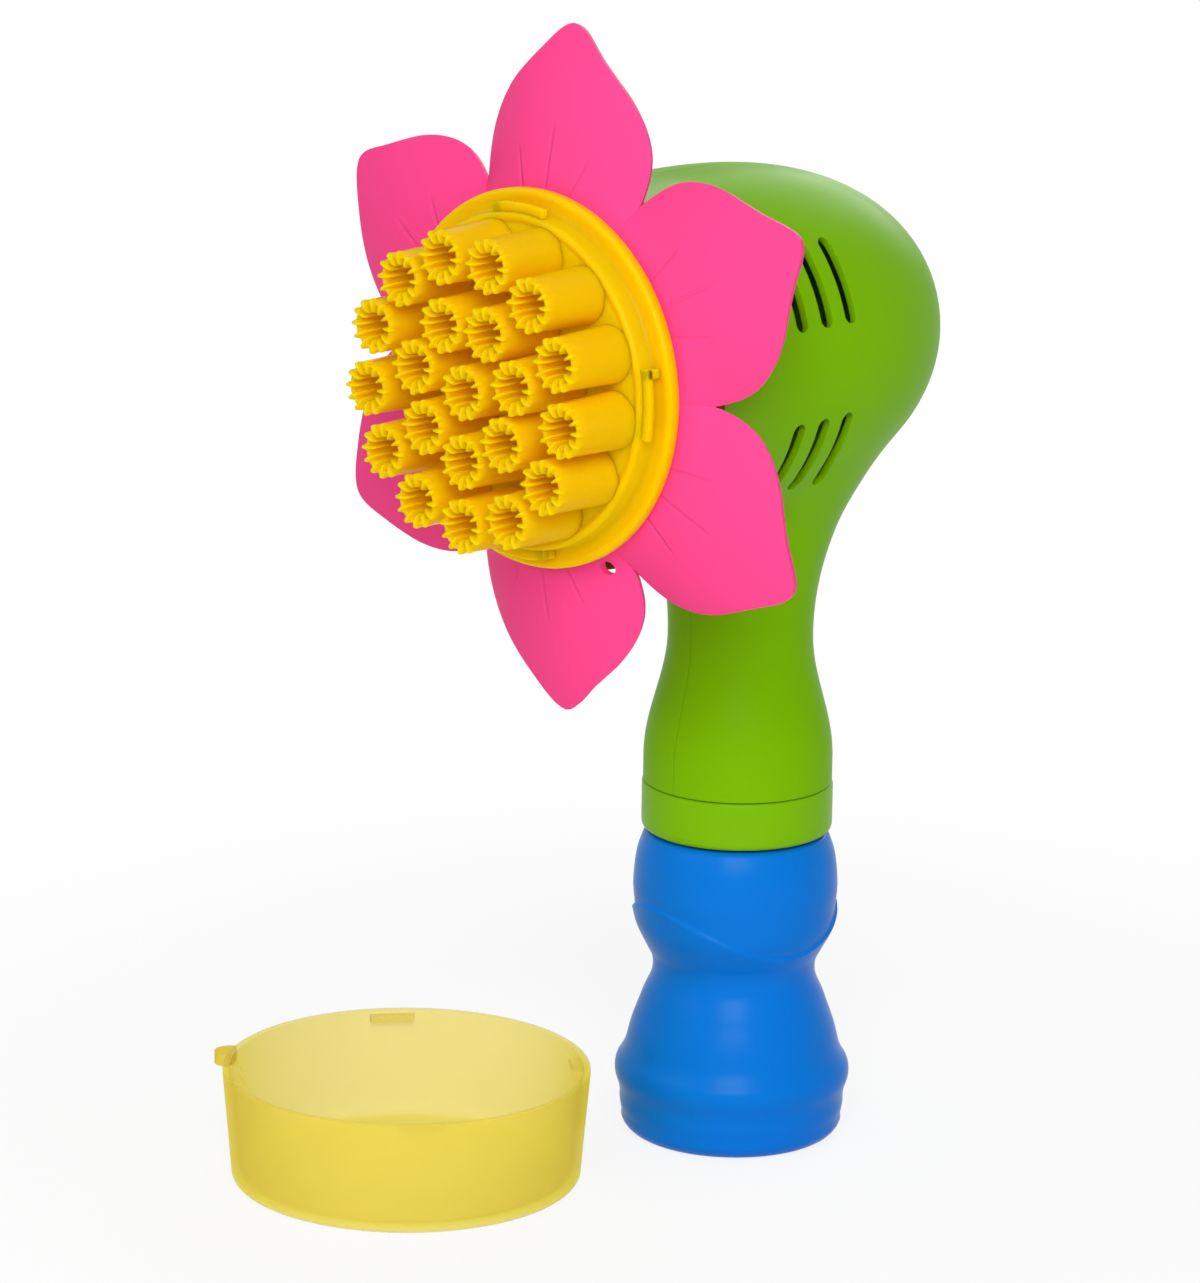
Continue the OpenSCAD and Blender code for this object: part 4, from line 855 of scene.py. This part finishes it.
class WAND_OT_nozzle(bpy.types.Operator):
    """Models the bubble nozzle: its flange, its drum, the locking hooks and the ribbed tubes"""

    bl_idname = "wand.nozzle"
    bl_label = "Bubble nozzle"

    def execute(self, context):
        look = context.scene.wand_look
        # With glow at one the yellow gets a soft spread below its surface and a painted glow that lightens
        # the shaded bores and gaps.
        material = moulded(
            "yellow_nozzle", look.yellow, 0.24, spread=0.04, mottle=0.03, bump=0.02, gloss=1.12, glow=1.0)
        drum = bmesh.new()
        spin_outline(drum, DRUM_OUTLINE, axis="Y", steps=160, closed=True)
        clean(drum)
        nodes = ["bubble_nozzle", "tube_plate"]
        body = finish_piece(drum, "nozzle_drum", material, "wand", nodes)
        cut_away(body, bore_cutter(), "bore_cutter")
        keep_edges_sharp(body, 45.0)

        tubes = bmesh.new()
        for x, rise in tube_places():
            add_tube(tubes, x, rise, look.rib_count)
        bmesh.ops.recalc_face_normals(tubes, faces=tubes.faces)
        finish_piece(tubes, "nozzle_tubes", material, "wand", ["bubble_tubes"])

        hooks = bmesh.new()
        for quarter in range(HOOK_COUNT):
            start = 360.0 / HOOK_COUNT * quarter + HOOK_START
            spin_outline(hooks, HOOK_ROOF, axis="Y", steps=12, angle=HOOK_ROOF_SPAN, start=start, closed=True)
            spin_outline(hooks, HOOK_STOP, axis="Y", steps=2, angle=HOOK_STOP_SPAN,
                         start=start + HOOK_STOP_START, closed=True)
        bmesh.ops.recalc_face_normals(hooks, faces=hooks.faces)
        ridge = finish_piece(hooks, "nozzle_hooks", material, "wand", [])
        soften(ridge, HOOK_EDGE, 3, bevel_angle=35.0, sharp_angle=50.0)
        return {"FINISHED"}


# Bottle and cap


# Radius and height of the base, of the round foot, and of the shoulder with the mouth.
BOTTLE_BASE = ((0.0, 0.6), (18.0, 0.6), (20.0, 0.3), (21.5, 0.0), (22.4, 0.03))
BOTTLE_FOOT_CENTRE = (22.4, 4.9)
BOTTLE_FOOT_R = (4.6, 4.87)
# Height and radius of the side, with its bead and its waist.
BOTTLE_SIDE = (
    (5.0, 26.75), (7.5, 27.2), (9.8, 27.22), (11.8, 27.6), (13.9, 28.3), (15.8, 28.5), (18.0, 28.05),
    (20.0, 26.85), (22.0, 26.0), (24.0, 25.5), (26.0, 25.0), (28.0, 24.4), (30.0, 23.7), (32.0, 22.95),
    (34.4, 22.1), (36.4, 21.25), (38.4, 20.3), (40.5, 19.7), (42.5, 19.6), (44.6, 20.0), (46.6, 21.0),
    (48.6, 22.0), (50.6, 22.95), (52.7, 23.7), (54.7, 24.05), (58.0, 24.35), (62.0, 24.7), (66.0, 24.5),
    (69.0, 24.15), (71.0, 23.75), (73.0, 23.1), (75.0, 22.3), (75.8, 21.6), (76.1, 20.4), (76.2, 17.4))
BOTTLE_TOP = (
    (21.6, 75.8), (20.2, 76.1), (17.4, 76.2), (17.2, 76.8), (17.2, 84.9), (16.9, 85.2), (15.9, 85.2),
    (15.6, 84.9), (15.6, 75.0))
# The side's rings: first and last height, step, and the finer step round the wave.
SIDE_START = 4.6
SIDE_END = 75.7
SIDE_STEP = 0.8
WAVE_STEP = 0.42
WAVE_RINGS = (44.0, 63.0)
# Just above the foot the side leans out from this radius and height by this slope.
LEAN_R = 26.6
LEAN_Z = 4.0
LEAN_SLOPE = 0.15
# The wavy step: its middle height, rise and turn, the heights and least radius it acts on, and its form.
WAVE_Z = 54.4
WAVE_RISE = 5.4
WAVE_TURN = math.radians(11.5)
WAVE_BAND = (40.0, 66.0)
WAVE_LEAST_R = 18.5
WAVE_LIFT = 0.75
WAVE_SOFT = 0.35
WAVE_FADE = 5.0
# Radius and height of the cap's outline.
CAP_OUTLINE = (
    (19.6, 76.8), (19.8, 76.6), (21.4, 76.6), (22.2, 76.8), (22.75, 77.3), (22.97, 78.0), (23.0, 79.0),
    (23.0, 87.7), (22.9, 88.1), (22.6, 88.35), (22.0, 88.4), (18.5, 88.4), (18.5, 91.6), (20.2, 91.6),
    (20.2, 93.2), (16.5, 93.2), (16.5, 88.4), (0.0, 88.4), (0.0, 86.4), (19.6, 86.4))


def bottle_outline():
    """The bottle's outline, from the middle of its base to the inside of its mouth."""
    outline = list(BOTTLE_BASE) + arc(BOTTLE_FOOT_CENTRE, BOTTLE_FOOT_R, 0.0, 12.0, 6)
    z = SIDE_START
    while z < SIDE_END:
        if z > BOTTLE_SIDE[0][0]:
            radius = curve_through(BOTTLE_SIDE, z)
        else:
            radius = LEAN_R + LEAN_SLOPE * (z - LEAN_Z)
        outline.append((radius, z))
        z += WAVE_STEP if WAVE_RINGS[0] < z < WAVE_RINGS[1] else SIDE_STEP
    return outline + list(BOTTLE_TOP)


def wave_height(turn):
    """Height of the wavy step round the bottle, by the angle from the flower's side."""
    return WAVE_Z + WAVE_RISE * math.cos(2 * (turn + WAVE_TURN))


def raise_wave(bm):
    """Pushes the bottle's skin out below the wavy step."""
    for vert in bm.verts:
        radius = math.hypot(vert.co.x, vert.co.y)
        if WAVE_BAND[0] < vert.co.z < WAVE_BAND[1] and radius > WAVE_LEAST_R:
            below = wave_height(math.atan2(vert.co.x, -vert.co.y)) - vert.co.z
            step = smooth_step(-WAVE_SOFT, WAVE_SOFT, below)
            lift = WAVE_LIFT * step * math.exp(-max(below, 0.0) / WAVE_FADE)
            vert.co.x *= (radius + lift) / radius
            vert.co.y *= (radius + lift) / radius


class WAND_OT_bottle(bpy.types.Operator):
    """Models the bottle with its bead, waist and wavy step"""

    bl_idname = "wand.bottle"
    bl_label = "Bottle"

    def execute(self, context):
        look = context.scene.wand_look
        material = moulded("blue_bottle", look.blue, 0.30, mottle=0.05, bump=0.05, grain=700.0, gloss=1.16)
        bm = bmesh.new()
        spin_outline(bm, bottle_outline(), steps=192)
        clean(bm)
        raise_wave(bm)
        piece = finish_piece(bm, "bottle_blown", material, "bottle", ["bottle"])
        keep_edges_sharp(piece, 45.0)
        return {"FINISHED"}


class WAND_OT_cap(bpy.types.Operator):
    """Models the cap that joins the bottle to the housing"""

    bl_idname = "wand.cap"
    bl_label = "Bottle cap"

    def execute(self, context):
        look = context.scene.wand_look
        material = moulded("green_cap", look.green, 0.32, bump=0.04, gloss=1.16)
        bm = bmesh.new()
        spin_outline(bm, CAP_OUTLINE, steps=160, closed=True)
        clean(bm)
        piece = finish_piece(bm, "cap_ring", material, "wand", ["bottle_cap"])
        keep_edges_sharp(piece, 40.0)
        return {"FINISHED"}


# Dip dish


DISH_PLACE = (-30.1, -81.4, 0.0)
# Radius and height of the dish's base, its wall up to the rim and down inside, and its two round corners.
DISH_BASE = ((0.0, 0.4), (37.8, 0.4), (38.6, 0.0), (39.4, 0.0))
DISH_FOOT_CENTRE = (39.4, 2.2)
DISH_FOOT_R = (2.2, 2.2)
DISH_WALL = (
    (42.4, 12.0), (43.2, 21.0), (43.65, 26.6), (43.6, 27.3), (43.2, 27.6), (42.4, 27.6), (42.0, 27.3),
    (41.9, 26.6), (41.4, 21.0), (40.6, 12.0), (40.0, 5.0))
DISH_CORNER_CENTRE = (37.9, 3.8)
DISH_CORNER_R = (2.0, 2.0)
DISH_INSIDE = ((0.0, 1.8),)
# How strongly the walls tint the light: the lugs and the ear stand inside the wall's own tint.
DISH_DENSITY = 320.0
LUG_DENSITY = 60.0
LUG_COUNT = 4
LUG_OUTLINE = ((39.5, 25.0), (42.0, 25.0), (42.0, 26.6), (39.5, 26.6))
LUG_SPAN = 15.0
LUG_TURN = 50.5
# The ear is a round tab whose inner half is pressed flat against the wall.
EAR_R = 3.8
EAR_T = 2.9
EAR_Z = 24.3
EAR_REACH = 43.6
EAR_INNER = 0.3
EAR_TURN = math.radians(210.5)


def dish_outline():
    """The dish's outline, from the middle of its base over the rim to the middle of its inside."""
    outline = list(DISH_BASE) + arc(DISH_FOOT_CENTRE, DISH_FOOT_R, 0.0, 15.0, 6)
    outline += list(DISH_WALL) + arc(DISH_CORNER_CENTRE, DISH_CORNER_R, 90.0, -18.0, 5)
    return outline + list(DISH_INSIDE)


class WAND_OT_dish(bpy.types.Operator):
    """Models the translucent dip dish with its locking lugs and its ear"""

    bl_idname = "wand.dish"
    bl_label = "Dip dish"

    def execute(self, context):
        look = context.scene.wand_look
        cup = bmesh.new()
        spin_outline(cup, dish_outline(), steps=160)
        clean(cup)
        bmesh.ops.translate(cup, vec=DISH_PLACE, verts=cup.verts)
        material = clear_yellow("yellow_dish", look.dish, DISH_DENSITY)
        piece = finish_piece(cup, "dish_cup", material, "dish", ["dip_dish"])
        keep_edges_sharp(piece, 40.0)

        lugs = bmesh.new()
        for quarter in range(LUG_COUNT):
            spin_outline(lugs, LUG_OUTLINE, steps=8, angle=LUG_SPAN,
                         start=LUG_TURN + 360.0 / LUG_COUNT * quarter - LUG_SPAN / 2, closed=True)
        for vert in round_block(lugs, 2 * EAR_R, 2 * EAR_R, 0.0, EAR_T, steps=40):
            along = EAR_REACH + (vert.co.x if vert.co.x > 0 else vert.co.x * EAR_INNER)
            vert.co = Vector((along * math.cos(EAR_TURN) - vert.co.y * math.sin(EAR_TURN),
                              along * math.sin(EAR_TURN) + vert.co.y * math.cos(EAR_TURN), vert.co.z + EAR_Z))
        bmesh.ops.recalc_face_normals(lugs, faces=lugs.faces)
        bmesh.ops.translate(lugs, vec=DISH_PLACE, verts=lugs.verts)
        thin = clear_yellow("yellow_lugs", look.dish, LUG_DENSITY)
        piece = finish_piece(lugs, "dish_lugs", thin, "dish", [])
        keep_edges_sharp(piece, 40.0)
        return {"FINISHED"}


# Trigger, door and inner works


def inner_finishes(look, steel):
    """The finish of each solid that is shown as it is."""
    green = moulded("green_trigger", look.green, 0.34, bump=0.04)
    brass = moulded("sheet_brass", (0.72, 0.52, 0.20), 0.32, spread=0.10, mottle=0.08, metallic=1.0)
    white = moulded("white_plastic", (0.78, 0.78, 0.75), 0.45)
    black = moulded("black_plastic", (0.030, 0.030, 0.033), 0.45, mottle=0.15)
    sleeve = moulded("cell_sleeve", (0.045, 0.047, 0.055), 0.28, mottle=0.15, coat=0.3)
    return {
        "trigger": green, "battery_door": green, "air_duct": green,
        "housing_screws": steel, "nozzle_screws": steel, "motor_screws": steel, "door_screw": steel,
        "motor_shaft": steel, "motor": steel, "trigger_spring": steel,
        "contact_bridge": brass, "contact_spring": brass, "contact_plate": brass,
        "motor_mount": white, "fan": white, "battery_cradle": white,
        "switch": black, "battery_front": sleeve, "battery_rear": sleeve,
        "bottle_seal": moulded("soft_ring", (0.70, 0.70, 0.67), 0.65, bump=0.10),
        "wire_switch": moulded("red_lead", (0.55, 0.02, 0.015), 0.45),
        "wire_motor": moulded("blue_lead", (0.02, 0.07, 0.45), 0.45),
        "wire_return": moulded("black_lead", (0.02, 0.02, 0.02), 0.45, mottle=0.15),
    }


class WAND_OT_works(bpy.types.Operator):
    """Gives the trigger, the door and the inner works their finishes, and the trigger its spring"""

    bl_idname = "wand.works"
    bl_label = "Inner works"

    def execute(self, context):
        look = context.scene.wand_look
        steel = moulded("bare_steel", (0.56, 0.57, 0.58), 0.30, spread=0.10, mottle=0.08, metallic=1.0)
        for name, material in inner_finishes(look, steel).items():
            item = bpy.data.objects.get(name)
            if item is None:
                raise RuntimeError("no solid named " + name)
            item.data.materials.clear()
            item.data.materials.append(material)

        solid = bpy.data.objects["trigger_spring"]
        coil = bmesh.new()
        coil.from_mesh(solid.data)
        bmesh.ops.transform(coil, matrix=Matrix.Scale(1 / MM, 4) @ solid.matrix_world, verts=coil.verts)
        clean(coil)
        spring = finish_piece(coil, "pressed_spring", steel, "wand", ["trigger_spring"])
        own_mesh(spring)
        return {"FINISHED"}


# Studio


# The camera is fitted to the photo: angles, places in millimetres, focal length in the photo's pixels.
CAMERA_TURN = math.radians(43.537)
CAMERA_RISE = math.radians(14.696)
CAMERA_ROLL = math.radians(0.817)
CAMERA_ASIDE = -33.536
CAMERA_AIM_Z = 121.907
CAMERA_AWAY = 1435.286
CAMERA_CLIP = (0.05, 20.0)
FOCAL_PIXELS = 6000.0
PHOTO_HEIGHT = 1283.0
SENSOR = 36.0
# The floor glows like the background, apart from a share near the wand that takes its shadow.
FLOOR_HALF = 3.0
FLOOR_TONE = (0.92, 0.92, 0.92, 1)
FLOOR_NEAR = (0.12, 0.34)
FLOOR_SHADOW = 0.15
# The background is white where it is seen, and lights the wand more weakly.
WORLD_LIGHT = 0.34
WORLD_SEEN = 1.0
MOST_BOUNCES = 16
MATTE_BOUNCES = 10
# Name, place and power of each lamp. They are square and look at one place.
LAMPS = (
    ("key_lamp", (0.80, -0.85, 0.85), 12.4),
    ("fill_lamp", (-0.35, -1.15, 0.85), 1.8),
    ("rear_lamp", (-0.5, 1.2, 0.7), 5.0),
)
LAMP_SIZE = 0.7
LAMP_AIM = Vector((0.0, -0.03, 0.14))


def place_camera(scene):
    """Puts the camera where the photo was taken from."""
    level = math.cos(CAMERA_RISE)
    back = Vector((math.sin(CAMERA_TURN) * level, -math.cos(CAMERA_TURN) * level, math.sin(CAMERA_RISE)))
    right = Vector((math.cos(CAMERA_TURN), math.sin(CAMERA_TURN), 0))
    up = back.cross(right)
    across = math.cos(CAMERA_ROLL) * right + math.sin(CAMERA_ROLL) * up
    above = -math.sin(CAMERA_ROLL) * right + math.cos(CAMERA_ROLL) * up
    place = (right * CAMERA_ASIDE + Vector((0, 0, CAMERA_AIM_Z)) + back * CAMERA_AWAY) * MM
    data = bpy.data.cameras.new("photo_camera")
    data.sensor_width = SENSOR
    data.lens = SENSOR * FOCAL_PIXELS / PHOTO_HEIGHT
    data.clip_start, data.clip_end = CAMERA_CLIP
    camera = bpy.data.objects.new("photo_camera", data)
    scene.collection.objects.link(camera)
    camera.matrix_world = Matrix.Translation(place) @ Matrix((across, above, back)).transposed().to_4x4()
    scene.camera = camera


def seen_rays(tree):
    """One for rays from the camera and for those that gloss or clear walls send on, else nothing."""
    path = tree.nodes.new("ShaderNodeLightPath")
    sent_on = maths(tree, "MAXIMUM", path.outputs["Is Glossy Ray"], path.outputs["Is Transmission Ray"])
    return maths(tree, "MAXIMUM", path.outputs["Is Camera Ray"], sent_on)


def lay_floor():
    """Lays the pale floor."""
    bm = bmesh.new()
    bmesh.ops.create_grid(bm, x_segments=1, y_segments=1, size=FLOOR_HALF)
    floor = new_object(bm, "studio_floor", scale=1.0)
    material = bpy.data.materials.new("pale_floor")
    material.use_nodes = True
    tree = material.node_tree
    tree.nodes.clear()
    output = tree.nodes.new("ShaderNodeOutputMaterial")
    matte = tree.nodes.new("ShaderNodeBsdfDiffuse")
    matte.inputs["Color"].default_value = FLOOR_TONE
    glow = tree.nodes.new("ShaderNodeEmission")
    glow.inputs["Strength"].default_value = WORLD_SEEN
    away = tree.nodes.new("ShaderNodeVectorMath")
    away.operation = "LENGTH"
    tree.links.new(tree.nodes.new("ShaderNodeTexCoord").outputs["Object"], away.inputs[0])
    near = fade(tree, away.outputs["Value"], *FLOOR_NEAR)
    bare = maths(tree, "SUBTRACT", 1.0, maths(tree, "MULTIPLY", near, FLOOR_SHADOW))
    mix = tree.nodes.new("ShaderNodeMixShader")
    tree.links.new(maths(tree, "MULTIPLY", seen_rays(tree), bare), mix.inputs["Fac"])
    tree.links.new(matte.outputs["BSDF"], mix.inputs[1])
    tree.links.new(glow.outputs["Emission"], mix.inputs[2])
    tree.links.new(mix.outputs["Shader"], output.inputs["Surface"])
    floor.data.materials.append(material)


def light_world(scene):
    """Makes the background white."""
    world = bpy.data.worlds.new("studio_world")
    scene.world = world
    world.use_nodes = True
    tree = world.node_tree
    tree.nodes.clear()
    output = tree.nodes.new("ShaderNodeOutputWorld")
    background = tree.nodes.new("ShaderNodeBackground")
    background.inputs["Color"].default_value = (1, 1, 1, 1)
    tree.links.new(ramp(tree, seen_rays(tree), WORLD_LIGHT, WORLD_SEEN), background.inputs["Strength"])
    tree.links.new(background.outputs["Background"], output.inputs["Surface"])


def hang_lamp(scene, name, place, power):
    """Hangs a square lamp that looks at the wand."""
    data = bpy.data.lights.new(name, "AREA")
    data.shape = "SQUARE"
    data.size = LAMP_SIZE
    data.energy = power
    lamp = bpy.data.objects.new(name, data)
    scene.collection.objects.link(lamp)
    lamp.location = place
    lamp.rotation_mode = "QUATERNION"
    lamp.rotation_quaternion = (LAMP_AIM - Vector(place)).to_track_quat("-Z", "Y")


class WAND_OT_studio(bpy.types.Operator):
    """Sets the floor, the soft lamps, the pale background and the camera"""

    bl_idname = "wand.studio"
    bl_label = "Studio"

    def execute(self, context):
        scene = context.scene
        scene.view_settings.view_transform = "Standard"
        scene.cycles.max_bounces = MOST_BOUNCES
        scene.cycles.diffuse_bounces = MATTE_BOUNCES
        place_camera(scene)
        lay_floor()
        light_world(scene)
        for name, place, power in LAMPS:
            hang_lamp(scene, name, place, power)
        return {"FINISHED"}


# Panel and registration


STEPS = (
    WAND_OT_studio, WAND_OT_housing, WAND_OT_flower, WAND_OT_nozzle, WAND_OT_bottle, WAND_OT_cap,
    WAND_OT_dish, WAND_OT_works)


class WAND_PT_panel(bpy.types.Panel):
    """Lists the wand's pieces and its colours"""

    bl_label = "Bubble Wand"
    bl_idname = "WAND_PT_panel"
    bl_space_type = "VIEW_3D"
    bl_region_type = "UI"
    bl_category = "Bubble Wand"

    def draw(self, context):
        look = context.scene.wand_look
        for name in ("green", "pink", "yellow", "blue", "dish", "wall", "soft_edge", "rib_count"):
            self.layout.prop(look, name)
        for step in STEPS:
            self.layout.operator(step.bl_idname)


CLASSES = (WandLook,) + STEPS + (WAND_PT_panel,)


def register():
    for item in CLASSES:
        bpy.utils.register_class(item)
    bpy.types.Scene.wand_look = PointerProperty(type=WandLook)


def unregister():
    del bpy.types.Scene.wand_look
    for item in reversed(CLASSES):
        bpy.utils.unregister_class(item)


def main():
    register()
    bpy.ops.wand.studio()
    bpy.ops.wand.housing()
    bpy.ops.wand.flower()
    bpy.ops.wand.nozzle()
    bpy.ops.wand.bottle()
    bpy.ops.wand.cap()
    bpy.ops.wand.dish()
    bpy.ops.wand.works()
    bpy.context.view_layer.update()


if __name__ == "__main__":
    main()
